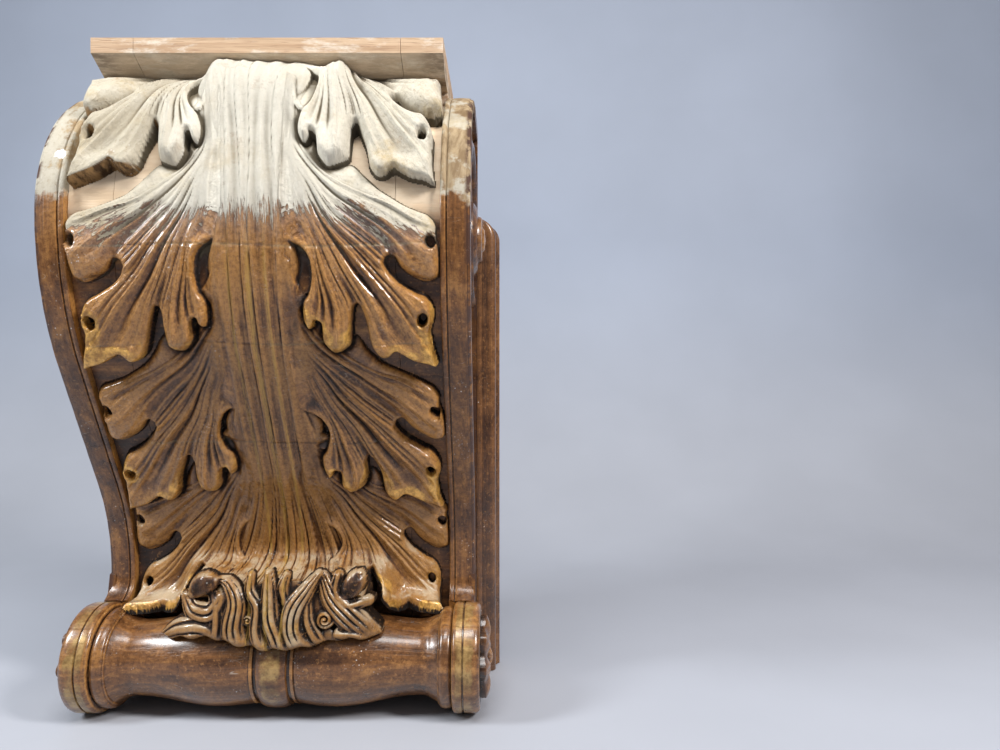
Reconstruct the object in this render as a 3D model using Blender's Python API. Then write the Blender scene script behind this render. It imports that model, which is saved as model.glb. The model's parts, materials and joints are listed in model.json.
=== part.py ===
"""Wooden corbel bracket: a core of three planks with its top board, two scroll cheeks,
a carved acanthus leaf, a turned roll at the foot and moulded strips at the wall."""
import math

import bmesh
import bpy
import numpy as np

MM = 0.001

# Overall sizes, in millimetres. Depth d runs from the bulge's foremost line back to the wall,
# height z runs up from the roll's underside.
DEPTH = 160.0
HEIGHT = 458.0
ORIGIN_HEIGHT = 229.0
CORE_WIDTH = 232.0
CHEEK_THICKNESS = 19.0
PLANK_WIDTH = 28.0
GAP = 0.3

# The scroll line of the cheeks' front edge, from the top centre forwards and down.
BOARD_THICKNESS = 20.0
BOARD_LIFT = 1.0
TOP_RADIUS = 100.0
TOP_CENTRE_HEIGHT = HEIGHT - BOARD_THICKNESS - BOARD_LIFT - TOP_RADIUS
BULGE_RADIUS = 195.0
SWEEP_DEG = 30.0
FOOT_RADIUS = 135.0
FOOT_END_HEIGHT = 88.6
TURN_RADIUS = 17.0
TOE_LENGTH = 6.4
TOE_RADIUS = 35.2
LEAF_START_DEG = 30.0
FIELD_RECESS = 5.5
SWEEP = math.radians(SWEEP_DEG)
SWEPT_RADII = BULGE_RADIUS + FOOT_RADIUS
SHANK_LENGTH = (TOP_CENTRE_HEIGHT - FOOT_END_HEIGHT - SWEPT_RADII * math.sin(SWEEP)) / math.cos(SWEEP)
FOOT_DEPTH = SWEPT_RADII * (1.0 - math.cos(SWEEP)) + SHANK_LENGTH * math.sin(SWEEP)

# The top board.
BOARD_UNDERSIDE = HEIGHT - BOARD_THICKNESS
FILLET_HEIGHT = 10.0
FILLET_DEPTH = 31.4
BEVEL_FOOT_DEPTH = 49.0
BOARD_SLOT_DEPTH = 75.0

# The roll, turned about an axis under the toe of the scroll line.
ROLL_DEPTH = FOOT_DEPTH - TURN_RADIUS - TOE_LENGTH
DISC_RADIUS = 37.0
ROLL_HEIGHT = DISC_RADIUS
DISC_WIDTH = 19.0
DISC_INNER_X = CORE_WIDTH / 2.0 + 4.6
ROLL_HALF = DISC_INNER_X + DISC_WIDTH
BEAD_WIDTH = 8.6
BEAD_RADIUS = 34.0
BEAD_INNER_X = DISC_INNER_X - BEAD_WIDTH
NECK_RADIUS = 25.5
NECK_X = BEAD_INNER_X - 14.0
BELLY_RADIUS = 32.6
BELLY_X = 0.41 * NECK_X
TORUS_RADIUS = 33.4
TORUS_HALF = 10.0
GROOVE_RADIUS = 29.0
ROSETTE_RADIUS = 29.0
ROSETTE_HEIGHT = 8.5
ROSETTE_PETALS = 8
ROLL_SPOKES = 24

# The back mouldings.
MOULDING_WIDTH = 17.7
MOULDING_DEPTH = 30.0
MOULDING_TOP = 361.0
MOULDING_SHOULDER = 16.0
MOULDING_BAND = 8.0
MOULDING_TORUS = 5.2

# The cheeks' outer faces.
RIM_WIDTH = 10.0
PANEL_SINK = 3.6
PANEL_BACK_DEPTH = DEPTH - MOULDING_DEPTH - 1.4
PANEL_FOOT_HEIGHT = FOOT_END_HEIGHT + 3.4
COIL_TURNS = 1.2
COIL_OUTER = 84.0
COIL_INNER = 35.0
COIL_WIDTH = 8.0
COIL_RISE = 3.3
EYE_RADIUS = 27.0
EYE_HEIGHT = 11.0
EYE_DEPTH = PANEL_BACK_DEPTH - EYE_RADIUS - 1.6

# The leaf: four tiers of leaflets. Each has the place of its tips as a share of the scroll line
# down to the foot, and its length factor. The carving is drawn for a field of LEAF_HALF.
TIER_SHARES = (0.2384, 0.5404, 0.8424, 1.0861)
TIER_SCALES = (0.95, 1.0, 1.0, 0.95)
LEAF_HALF = 116.0
LEAF_WIDEN = CORE_WIDTH / 2.0 / LEAF_HALF

# Tips of one leaflet's fingers, from its upper edge round to the lower one:
# x from the centre, arc from the leaflet's lowest tip, half width, height over the field.
LEAFLET_TIPS = (
    (112.0, -89.0, 6.0, 13.0),
    (106.0, -78.0, 8.0, 16.0),
    (113.0, -42.0, 6.0, 13.0),
    (114.0, -23.0, 6.0, 13.0),
    (111.0, -3.0, 7.0, 16.0),
    (94.0, -1.0, 8.0, 16.0),
    (79.0, -6.0, 6.0, 16.0),
)
BULB_DROP = 15.0
NUB_TIP = (47.0, -13.0)
STEM_EDGE = 22.0
ROOT_ARC = -214.0
SHOULDER_X = 45.0
SHOULDER_ARC = -124.0
SHOULDER_STEP = 10.5
STEM_SPLAY = 0.8
STEM_SPLAY_ARC = 70.0
STEM_LEAN = 8.0
STEM_LEAN_ARC = 110.0
LEAF_VOXEL = 2.3
LEAF_TRIANGLES = 3500

# How far the cutting tools reach past the part.
TOOL_MARGIN = 40.0


def clear_scene():
    for item in list(bpy.data.objects):
        bpy.data.objects.remove(item, do_unlink=True)


def world(x, depth, height):
    return (x * MM, (depth - DEPTH) * MM, (height - ORIGIN_HEIGHT) * MM)


def material(name, color, roughness, metallic=0.0):
    made = bpy.data.materials.new(name)
    made.use_nodes = True
    shader = made.node_tree.nodes["Principled BSDF"]
    shader.inputs["Base Color"].default_value = (color[0], color[1], color[2], 1.0)
    shader.inputs["Roughness"].default_value = roughness
    shader.inputs["Metallic"].default_value = metallic
    return made


def mesh_object(name, points, faces, surface=None, smooth=False):
    mesh = bpy.data.meshes.new(name)
    mesh.from_pydata(points, [], faces)
    mesh.validate()
    mesh.update()
    if smooth:
        mesh.shade_smooth()
    made = bpy.data.objects.new(name, mesh)
    bpy.context.scene.collection.objects.link(made)
    if surface is not None:
        mesh.materials.append(surface)
    return made


def scroll_segments():
    """Turns and straights of the front edge: (length, change of heading in radians)."""
    right = math.radians(90.0)
    return (
        (TOP_RADIUS * right, right),
        (BULGE_RADIUS * SWEEP, SWEEP),
        (SHANK_LENGTH, 0.0),
        (FOOT_RADIUS * SWEEP, -SWEEP),
        (TURN_RADIUS * right, -right),
        (TOE_LENGTH, 0.0),
        (TOE_RADIUS * right, right),
    )


def scroll_point(arc, out=0.0):
    """Depth and height at an arc length from the leaf's start, moved outwards along the normal."""
    left = arc + TOP_RADIUS * math.radians(LEAF_START_DEG)
    depth = TOP_RADIUS
    height = TOP_CENTRE_HEIGHT + TOP_RADIUS
    heading = 0.0
    for length, turn in scroll_segments():
        run = min(left, length)
        if turn == 0.0:
            depth -= run * math.cos(heading)
            height -= run * math.sin(heading)
        else:
            radius = length / turn
            centre_depth = depth + radius * math.sin(heading)
            centre_height = height - radius * math.cos(heading)
            heading += run / radius
            depth = centre_depth - radius * math.sin(heading)
            height = centre_height + radius * math.cos(heading)
        left -= run
        if left <= 0.0:
            break
    return depth - out * math.sin(heading), height + out * math.cos(heading)


def scroll_line(start, end, steps, out=0.0):
    return [scroll_point(start + (end - start) * k / steps, out) for k in range(steps + 1)]


def foot_arc():
    """Arc position where the concave foot ends, above the roll."""
    total = sum(length for length, _ in scroll_segments()[:4])
    return total - TOP_RADIUS * math.radians(LEAF_START_DEG)


def extrude_side(name, outline, x_low, x_high, surface):
    """A side outline of (depth, height) points made solid between two x positions."""
    count = len(outline)
    points = [world(x_low, d, z) for d, z in outline] + [world(x_high, d, z) for d, z in outline]
    faces = [list(range(count)), list(range(2 * count - 1, count - 1, -1))]
    for k in range(count):
        after = (k + 1) % count
        faces.append([k, k + count, after + count, after])
    made = mesh_object(name, points, faces, surface)
    face_outwards(made)
    return made


def face_outwards(item):
    work = bmesh.new()
    work.from_mesh(item.data)
    bmesh.ops.recalc_face_normals(work, faces=work.faces)
    work.to_mesh(item.data)
    work.free()


def bake(item):
    """Replace an object's mesh by the result of its modifiers."""
    view = bpy.context.evaluated_depsgraph_get()
    made = bpy.data.meshes.new_from_object(item.evaluated_get(view))
    item.modifiers.clear()
    item.data = made


def cut(item, tool, operation="DIFFERENCE"):
    change = item.modifiers.new("cut", "BOOLEAN")
    change.operation = operation
    change.solver = "EXACT"
    change.object = tool
    bake(item)
    bpy.data.objects.remove(tool, do_unlink=True)


def core_outline():
    """Side outline of the core with its share of the top board."""
    outline = [(DEPTH, 0.5), (DEPTH, HEIGHT), (FILLET_DEPTH, HEIGHT),
               (FILLET_DEPTH, HEIGHT - FILLET_HEIGHT), (BEVEL_FOOT_DEPTH, BOARD_UNDERSIDE),
               (BOARD_SLOT_DEPTH, BOARD_UNDERSIDE)]
    field_radius = TOP_RADIUS - FIELD_RECESS
    angle = math.asin((TOP_RADIUS - BOARD_SLOT_DEPTH) / field_radius)
    start = TOP_RADIUS * (angle - math.radians(LEAF_START_DEG))
    outline += scroll_line(start, foot_arc(), 44, -FIELD_RECESS)
    reach = BEAD_RADIUS + 2.0 * GAP
    field_depth = outline[-1][0]
    first = math.acos((field_depth - ROLL_DEPTH) / reach)
    for k in range(5):
        angle = first * (1.0 - k / 4.0)
        outline.append((ROLL_DEPTH + reach * math.cos(angle), ROLL_HEIGHT + reach * math.sin(angle)))
    outline.append((ROLL_DEPTH + reach, 0.5))
    return outline


def cheek_outline():
    """Side outline of a cheek: the scroll line, cut round the roll's disc."""
    top = TOP_CENTRE_HEIGHT + TOP_RADIUS
    start = -TOP_RADIUS * math.radians(LEAF_START_DEG)
    outline = [(DEPTH, 0.5), (DEPTH, top)]
    outline += scroll_line(start, foot_arc(), 56)
    reach = DISC_RADIUS + GAP
    edge_depth = outline[-1][0] - 4.0
    first = math.acos((edge_depth - ROLL_DEPTH) / reach)
    for k in range(7):
        angle = first * (1.0 - k / 6.0)
        outline.append((ROLL_DEPTH + reach * math.cos(angle), ROLL_HEIGHT + reach * math.sin(angle)))
    outline.append((ROLL_DEPTH + reach, 0.5))
    return outline


def panel_outline():
    """The sunk panel on a cheek's outer face, inside its rim."""
    start = -TOP_RADIUS * math.radians(LEAF_START_DEG)
    line = []
    for depth, height in scroll_line(start, foot_arc(), 48, -RIM_WIDTH):
        if height > PANEL_FOOT_HEIGHT:
            line.append((depth, height))
    line.append((line[-1][0], PANEL_FOOT_HEIGHT))
    line.append((PANEL_BACK_DEPTH, PANEL_FOOT_HEIGHT))
    line.append((PANEL_BACK_DEPTH, MOULDING_TOP + 6.0))
    line.append((DEPTH - RIM_WIDTH, MOULDING_TOP + 6.0))
    line.append((DEPTH - RIM_WIDTH, line[0][1]))
    return line


def coil(side, face_x):
    """The scroll's coil: a band that winds in from the rim to the eye."""
    steps = 38
    points = []
    faces = []
    for k in range(steps + 1):
        share = k / steps
        angle = math.radians(-35.0) + COIL_TURNS * 2.0 * math.pi * share
        radius = COIL_OUTER + (COIL_INNER - COIL_OUTER) * share ** 0.8
        half = 0.5 * COIL_WIDTH * (1.0 - 0.45 * share)
        low = face_x - side * 1.5
        high = face_x + side * COIL_RISE
        ring = ((radius - half, low), (radius - half * 0.7, high), (radius + half * 0.7, high),
                (radius + half, low))
        for r, x in ring:
            depth = EYE_DEPTH - r * math.cos(angle)
            height = TOP_CENTRE_HEIGHT + r * math.sin(angle)
            points.append(world(x, depth, height))
    for k in range(steps):
        for j in range(4):
            after = (j + 1) % 4
            faces.append([4 * k + j, 4 * k + after, 4 * k + 4 + after, 4 * k + 4 + j])
    faces.append([0, 1, 2, 3])
    faces.append([4 * steps + 3, 4 * steps + 2, 4 * steps + 1, 4 * steps])
    made = mesh_object("coil", points, faces)
    face_outwards(made)
    return made


def cheek(name, side, surface):
    inner = side * (CORE_WIDTH / 2.0 + GAP)
    outer = side * (CORE_WIDTH / 2.0 + CHEEK_THICKNESS)
    board = extrude_side(name, cheek_outline(), inner, outer, surface)
    floor = outer - side * PANEL_SINK
    pocket = extrude_side("pocket", panel_outline(), floor, outer + side * 5.0, None)
    cut(board, pocket)
    cut(board, coil(side, floor), "UNION")
    return board


def polar_relief(name, side, base_x, centre, radius, relief, rings, spokes, surface):
    """A round closed body on an upright side face, whose height follows relief(share, angle)."""
    points = [world(base_x + side * relief(0.0, 0.0), centre[0], centre[1])]
    faces = []
    for j in range(1, rings + 1):
        share = j / rings
        for k in range(spokes):
            angle = 2.0 * math.pi * k / spokes
            reach = radius * share * rim_share(relief, share, angle)
            x = base_x + side * relief(share, angle)
            points.append(world(x, centre[0] + reach * math.cos(angle), centre[1] + reach * math.sin(angle)))
    outer = 1 + (rings - 1) * spokes
    for k in range(spokes):
        after = (k + 1) % spokes
        faces.append([0, 1 + k, 1 + after])
        for j in range(rings - 1):
            a = 1 + j * spokes
            faces.append([a + k, a + spokes + k, a + spokes + after, a + after])
    base = len(points)
    for k in range(spokes):
        ring_point = points[outer + k]
        points.append((base_x * MM, ring_point[1], ring_point[2]))
    for k in range(spokes):
        after = (k + 1) % spokes
        faces.append([outer + k, base + k, base + after, outer + after])
    faces.append([base + k for k in range(spokes)])
    made = mesh_object(name, points, faces, surface)
    face_outwards(made)
    return made


def rim_share(relief, share, angle):
    """Petalled bodies draw in between their petals near the rim."""
    if relief is petal_relief:
        dip = 0.5 - 0.5 * math.cos(ROSETTE_PETALS * angle)
        return 1.0 - 0.16 * share ** 3 * dip
    return 1.0


def petal_relief(share, angle):
    """Height of the rosette: a centre button, then petals with raised tips."""
    button = 0.24
    if share < button:
        return ROSETTE_HEIGHT * (0.72 + 0.28 * math.cos(0.5 * math.pi * share / button))
    out = (share - button) / (1.0 - button)
    petal = 0.5 + 0.5 * math.cos(ROSETTE_PETALS * angle)
    hollow = 0.22 * math.sin(math.pi * out)
    return ROSETTE_HEIGHT * (0.34 + hollow + 0.28 * petal * math.sin(math.pi * out * 0.8))


def eye_relief(share, angle):
    """Height of the stepped boss in the scroll's eye."""
    levels = ((0.30, 1.0), (0.36, 0.80), (0.62, 0.72), (0.68, 0.48), (0.86, 0.42), (1.0, 0.24))
    last = levels[0]
    for level in levels:
        if share <= level[0]:
            if level is levels[0]:
                return EYE_HEIGHT * (1.0 - 0.10 * (share / level[0]) ** 2)
            blend = (share - last[0]) / (level[0] - last[0])
            return EYE_HEIGHT * (last[1] + (level[1] - last[1]) * blend)
        last = level
    return EYE_HEIGHT * 0.24


def roll_profile(grooved=True):
    """Half of the roll's turned outline, from the centre outwards: (x, radius)."""
    line = []
    for k in range(4):
        angle = 0.5 * math.pi * k / 3.0
        line.append((TORUS_HALF * math.sin(angle), TORUS_RADIUS - 3.0 * (1.0 - math.cos(angle))))
    if grooved:
        line.append((TORUS_HALF + 0.4, GROOVE_RADIUS))
        line.append((TORUS_HALF + 3.0, GROOVE_RADIUS))
    belly_start = TORUS_HALF + 3.5
    for k in range(8):
        share = k / 7.0
        x = belly_start + (NECK_X - belly_start) * share
        if x < BELLY_X:
            out = (BELLY_X - x) / (BELLY_X - belly_start)
            radius = BELLY_RADIUS - 2.4 * out * out
        else:
            out = (x - BELLY_X) / (NECK_X - BELLY_X)
            radius = NECK_RADIUS + (BELLY_RADIUS - NECK_RADIUS) * (0.5 + 0.5 * math.cos(math.pi * out))
        line.append((x, radius))
    line.append((BEAD_INNER_X - 6.0, NECK_RADIUS + 1.6))
    line.append((BEAD_INNER_X - 0.5, BEAD_RADIUS - 3.5))
    bead_half = 0.5 * (DISC_INNER_X - BEAD_INNER_X)
    for k in range(5):
        angle = math.pi * k / 4.0
        line.append((BEAD_INNER_X + bead_half * (1.0 - math.cos(angle)),
                     BEAD_RADIUS - 2.5 + 2.5 * math.sin(angle)))
    line.append((DISC_INNER_X + 0.8, DISC_RADIUS - 1.4))
    line.append((DISC_INNER_X + 2.4, DISC_RADIUS))
    line.append((ROLL_HALF - 2.4, DISC_RADIUS))
    line.append((ROLL_HALF - 0.6, DISC_RADIUS - 0.8))
    line.append((ROLL_HALF, DISC_RADIUS - 2.6))
    return line


def turned(name, profile, spokes, surface, grow=0.0):
    """A body turned about the roll's axis from its half profile, mirrored at x = 0."""
    mirrored = [(-x, r) for x, r in reversed(profile[1:])]
    full = mirrored + list(profile)
    points = []
    faces = []
    for x, radius in full:
        for k in range(spokes):
            angle = 2.0 * math.pi * (k + 0.5) / spokes
            points.append(world(x, ROLL_DEPTH + (radius + grow) * math.cos(angle),
                                ROLL_HEIGHT + (radius + grow) * math.sin(angle)))
    for j in range(len(full) - 1):
        for k in range(spokes):
            after = (k + 1) % spokes
            faces.append([j * spokes + k, j * spokes + after, (j + 1) * spokes + after, (j + 1) * spokes + k])
    faces.append(list(range(spokes)))
    last = (len(full) - 1) * spokes
    faces.append([last + k for k in range(spokes)])
    made = mesh_object(name, points, faces, surface)
    face_outwards(made)
    return made


def moulding_section():
    """Plan of the back moulding as (distance out from the cheek, depth)."""
    front = DEPTH - MOULDING_DEPTH
    step = DEPTH - MOULDING_BAND
    torus_x = 0.54 * MOULDING_WIDTH
    torus_depth = step - 11.5
    section = [(0.0, DEPTH), (MOULDING_WIDTH, DEPTH), (MOULDING_WIDTH, step)]
    section += [(MOULDING_WIDTH - 2.4, step - 3.0), (MOULDING_WIDTH - 2.4, step - 5.0)]
    for k in range(7):
        angle = math.pi * k / 6.0
        section.append((torus_x + MOULDING_TORUS * math.sin(angle),
                        torus_depth + MOULDING_TORUS * math.cos(angle)))
    section += [(7.0, front + 4.4), (7.0, front + 2.8), (4.0, front + 1.6), (3.2, front), (0.0, front)]
    return section


def back_moulding(name, side, surface):
    start_x = CORE_WIDTH / 2.0 + CHEEK_THICKNESS + GAP
    section = moulding_section()
    levels = [(0.5, 1.0), (MOULDING_TOP - MOULDING_SHOULDER, 1.0)]
    for k in range(1, 6):
        angle = 0.5 * math.pi * k / 5.5
        levels.append((MOULDING_TOP - MOULDING_SHOULDER * (1.0 - math.sin(angle)), math.cos(angle)))
    count = len(section)
    points = []
    faces = []
    for height, share in levels:
        for out, depth in section:
            points.append(world(side * (start_x + out * share), depth, height))
    for j in range(len(levels) - 1):
        for k in range(count):
            after = (k + 1) % count
            faces.append([j * count + k, j * count + after, (j + 1) * count + after, (j + 1) * count + k])
    faces.append(list(range(count)))
    last = (len(levels) - 1) * count
    faces.append([last + k for k in range(count)])
    made = mesh_object(name, points, faces, surface)
    face_outwards(made)
    return made


def leaflet_fingers():
    """Fingers of one leaflet: points of (x, arc from the tip, half width, height over the field).

    Each finger hugs the stem, peels off at the shoulder and runs to its own tip."""
    fingers = []
    for k, (tip_x, tip_arc, tip_half, tip_height) in enumerate(LEAFLET_TIPS):
        shoulder_x = SHOULDER_X - max(0, k - 5)
        shoulder_arc = SHOULDER_ARC + SHOULDER_STEP * k - 4.0 * max(0, k - 4)
        points = [(STEM_EDGE - 0.5 * k, ROOT_ARC + 2.0 * k, 4, 7),
                  (STEM_EDGE + 1.0 - 0.6 * k, ROOT_ARC + 30.0 + 4.0 * k, 5, 7),
                  (STEM_EDGE + 8.0 - 0.6 * k, ROOT_ARC + 64.0 + 7.0 * k, 6, 7),
                  (shoulder_x, shoulder_arc, tip_half + 2.0, 8)]
        for share, rise in ((0.4, 9.0), (0.75, 12.5)):
            points.append((shoulder_x + share * (tip_x - shoulder_x),
                           shoulder_arc + share * (tip_arc - shoulder_arc), tip_half + 2.5, rise))
        points.append((tip_x, tip_arc, tip_half, tip_height))
        fingers.append(points)
    bulb_x, bulb_arc = LEAFLET_TIPS[1][:2]
    fingers[1].append((bulb_x + 3.0, bulb_arc + BULB_DROP, 8, 16))
    nub_x, nub_arc = NUB_TIP
    fingers.append([(26, -101, 5, 8), (39, -74, 5, 10), (nub_x - 1, -52, 6, 13), (nub_x - 1, -32, 8, 16),
                    (nub_x, nub_arc, 8, 16)])
    fingers.append([(nub_x - 4, -56, 4, 10), (nub_x - 8, -42, 5, 13), (nub_x - 10, -28, 5, 13)])
    fingers.append([(nub_x + 2, -52, 4, 10), (nub_x + 7, -36, 5, 13), (nub_x + 11, -20, 5, 14)])
    return fingers


def top_lobe():
    """The extra lobe that closes each side of the leaf's top edge."""
    return ((20, -14, 7, 12), (46, -10, 9, 12), (80, -5, 9, 13), (111, 0, 7, 14))


def stem_strands():
    """Strands of the stem: points of (x, arc, half width, height over the field)."""
    strands = []
    for x, width, low in ((2.2, 2.8, 0.0), (7.0, 3.4, 0.7), (12.0, 3.4, 1.8), (17.0, 3.6, 2.8)):
        strands.append(((x, -16, width * 1.3, 15 - low), (x, 30, width * 1.2, 12 - low),
                        (x, 95, width, 10.8 - low), (x, 190, width, 10.4 - low),
                        (x * 0.95, 270, width, 10 - low), (x * 1.3, 330, width * 1.3, 10 - low),
                        (x * 2.1, 380, width * 2.0, 10 - low)))
    return strands


def stem_shift(x, arc):
    """The stem splays at its top, and leans a little to the left there as the carver left it."""
    up = min(1.0, max(0.0, (STEM_SPLAY_ARC - arc) / STEM_SPLAY_ARC))
    near = max(0.0, 1.0 - abs(x) / 70.0)
    splay = x * STEM_SPLAY * up * up * near
    lean = min(1.0, max(0.0, (STEM_LEAN_ARC - arc) / STEM_LEAN_ARC))
    return x + splay - STEM_LEAN * lean * lean * (3.0 - 2.0 * lean) * min(1.0, 2.0 * near)


def tip_claws():
    """Claws of the curled tip, round the roll: points of (x, depth and height from the roll's axis,
    half width, half thickness)."""
    claws = []
    for x, top_x, wide in ((-27, -35, 6.5), (-16, -19, 5.5), (-2, -2, 7), (11, 13, 5.5), (23, 31, 7)):
        between = 0.5 * (x + top_x)
        claws.append(((x * 0.7, 15, 55, wide, 5), (x * 0.8, 5, 41, wide, 5), (x * 0.9, -14, 33, wide, 5),
                      (x, -31, 24, wide, 6), (x, -37.5, 33, wide, 5), (between, -35, 48, wide * 0.8, 4.5),
                      (top_x, -28, 59, wide * 0.6, 4)))
    for side in (-1, 1):
        claws.append(((side * 16, 9, 49, 10, 6), (side * 34, -11, 39, 12, 6), (side * 50, -27, 29, 11, 6),
                      (side * 62, -33, 23, 8, 6)))
        claws.append(((side * 20, 11, 51, 9, 6), (side * 40, -7, 43, 10, 6), (side * 58, -19, 35, 8, 6),
                      (side * 66, -25, 33, 6, 5)))
    return claws


def smooth_path(points, per_span):
    """A smooth run of stations through the given points."""
    rows = np.array(points, dtype=float)
    padded = np.vstack([2 * rows[0] - rows[1], rows, 2 * rows[-1] - rows[-2]])
    out = []
    for k in range(len(rows) - 1):
        a, b, c, d = padded[k], padded[k + 1], padded[k + 2], padded[k + 3]
        for j in range(per_span):
            t = j / per_span
            out.append(0.5 * (2 * b + (c - a) * t + (2 * a - 5 * b + 4 * c - d) * t * t
                              + (3 * b - a - 3 * c + d) * t ** 3))
    out.append(rows[-1])
    return np.array(out)


def tube_faces(rings, count):
    faces = []
    for j in range(rings - 1):
        for k in range(count):
            after = (k + 1) % count
            faces.append([j * count + k, j * count + after, (j + 1) * count + after, (j + 1) * count + k])
    faces.append(list(range(count)))
    last = (rings - 1) * count
    faces.append([last + k for k in range(count)])
    return faces


def on_field(x, arc, height):
    depth, level = scroll_point(arc, height - FIELD_RECESS)
    return world(x * LEAF_WIDEN, depth, level)


def flat_finger(points, side, tip, scale):
    """One finger on the field: flat below, rounded above, with a blunt rounded end."""
    path = smooth_path(points, 5)
    path[:, 0] *= side
    path[:, 1] = tip + path[:, 1] * scale
    path[:, 0] = [stem_shift(x, arc) for x, arc in path[:, :2]]
    step = np.diff(path[:, :2], axis=0)
    step = np.vstack([step, step[-1]])
    step /= np.maximum(np.hypot(step[:, 0], step[:, 1]), 1e-6)[:, None]
    run = np.concatenate([[0.0], np.cumsum(np.hypot(*np.diff(path[:, :2], axis=0).T))])
    ring_points = []
    count = 11
    for (x, arc, half, height), (dx, ds), at in zip(path, step, run):
        left = min(1.0, (run[-1] - at) / (half + 1e-6) + 0.08)
        round_off = math.sqrt(max(0.0, 1.0 - (1.0 - left) ** 2))
        half *= round_off
        height *= 0.45 + 0.55 * round_off
        for k in range(count):
            if k < count - 2:
                angle = math.pi * k / (count - 3)
                across = math.cos(angle)
                rise = height * math.sin(angle) ** 0.38
            else:
                across = -0.9 if k == count - 2 else 0.9
                rise = -3.0
            ring_points.append(on_field(x - ds * across * half, arc + dx * across * half, rise))
    return ring_points, tube_faces(len(path), count)


def round_claw(points):
    """One claw of the curled tip: an oval bar along a path in space."""
    path = smooth_path(points, 5)
    ring_points = []
    count = 8
    for j, (x, depth, height, half, thick) in enumerate(path):
        before = path[max(0, j - 1)]
        after = path[min(len(path) - 1, j + 1)]
        run = np.array([after[1] - before[1], after[2] - before[2]])
        run /= max(1e-6, np.hypot(*run))
        shrink = 1.0
        left = len(path) - 1 - j
        if left < 3:
            shrink = math.sqrt(1.0 - (1.0 - (left + 0.4) / 3.4) ** 2)
        for k in range(count):
            angle = 2.0 * math.pi * k / count
            across = half * shrink * math.cos(angle)
            out = thick * shrink * math.sin(angle)
            ring_points.append(world((x + across) * LEAF_WIDEN, ROLL_DEPTH + depth + out * run[1],
                                     ROLL_HEIGHT + height - out * run[0]))
    return ring_points, tube_faces(len(path), count)


def leaf_clearance():
    """Everything the leaf must stay clear of, grown by the gap: the core, board and cheeks."""
    field_radius = TOP_RADIUS - FIELD_RECESS
    angle = math.asin((TOP_RADIUS - BOARD_SLOT_DEPTH) / field_radius)
    start = TOP_RADIUS * (angle - math.radians(LEAF_START_DEG))
    line = [(DEPTH + TOOL_MARGIN, -TOOL_MARGIN), (DEPTH + TOOL_MARGIN, HEIGHT + TOOL_MARGIN),
            (FILLET_DEPTH - 14.0, HEIGHT + TOOL_MARGIN), (FILLET_DEPTH - 14.0, HEIGHT - FILLET_HEIGHT - 2.0),
            (FILLET_DEPTH - GAP, HEIGHT - FILLET_HEIGHT - 2.0),
            (BEVEL_FOOT_DEPTH - GAP, BOARD_UNDERSIDE - GAP), (BOARD_SLOT_DEPTH - GAP, BOARD_UNDERSIDE - GAP)]
    line += scroll_line(start, foot_arc(), 44, GAP - FIELD_RECESS)
    line.append((line[-1][0], -TOOL_MARGIN))
    return extrude_side("field_tool", line, -CORE_WIDTH, CORE_WIDTH, None)


def acanthus_leaf(surface):
    points = []
    faces = []

    def add(part):
        base = len(points)
        points.extend(part[0])
        faces.extend([[base + k for k in face] for face in part[1]])

    for share, scale in zip(TIER_SHARES, TIER_SCALES):
        for side in (-1, 1):
            for finger in leaflet_fingers():
                add(flat_finger(finger, side, share * foot_arc(), scale))
    for side in (-1, 1):
        add(flat_finger(top_lobe(), side, 0.0, 1.0))
    for strand in stem_strands():
        for side in (-1, 1):
            add(flat_finger(strand, side, 0.0, 1.0))
    for claw in tip_claws():
        add(round_claw(claw))
    leaf = mesh_object("acanthus_leaf", points, faces, surface)
    face_outwards(leaf)
    fuse = leaf.modifiers.new("fuse", "REMESH")
    fuse.mode = "VOXEL"
    fuse.voxel_size = LEAF_VOXEL * MM
    bake(leaf)
    thin = leaf.modifiers.new("thin", "DECIMATE")
    thin.ratio = LEAF_TRIANGLES / (2.0 * len(leaf.data.polygons))
    bake(leaf)
    cut(leaf, leaf_clearance())
    cut(leaf, turned("roll_tool", roll_profile(False), ROLL_SPOKES, None, GAP))
    limit = CORE_WIDTH / 2.0 - GAP
    low = -TOOL_MARGIN
    corners = [(low, low), (DEPTH - low, low), (DEPTH - low, HEIGHT - low), (low, HEIGHT - low)]
    side_walls = extrude_side("side_tool", corners, -limit, limit, None)
    cut(leaf, side_walls, "INTERSECT")
    keep_largest(leaf)
    return leaf


def keep_largest(item):
    """Drop the crumbs that a cut can leave beside the main body."""
    work = bmesh.new()
    work.from_mesh(item.data)
    bmesh.ops.remove_doubles(work, verts=work.verts, dist=0.00002)
    work.verts.ensure_lookup_table()
    seen = set()
    groups = []
    for start in work.verts:
        if start.index in seen:
            continue
        group = []
        stack = [start]
        seen.add(start.index)
        while stack:
            vertex = stack.pop()
            group.append(vertex)
            for edge in vertex.link_edges:
                other = edge.other_vert(vertex)
                if other.index not in seen:
                    seen.add(other.index)
                    stack.append(other)
        groups.append(group)
    groups.sort(key=len, reverse=True)
    for group in groups[1:]:
        bmesh.ops.delete(work, geom=group, context="VERTS")
    bmesh.ops.triangulate(work, faces=work.faces)
    bmesh.ops.recalc_face_normals(work, faces=work.faces)
    work.to_mesh(item.data)
    work.free()


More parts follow.
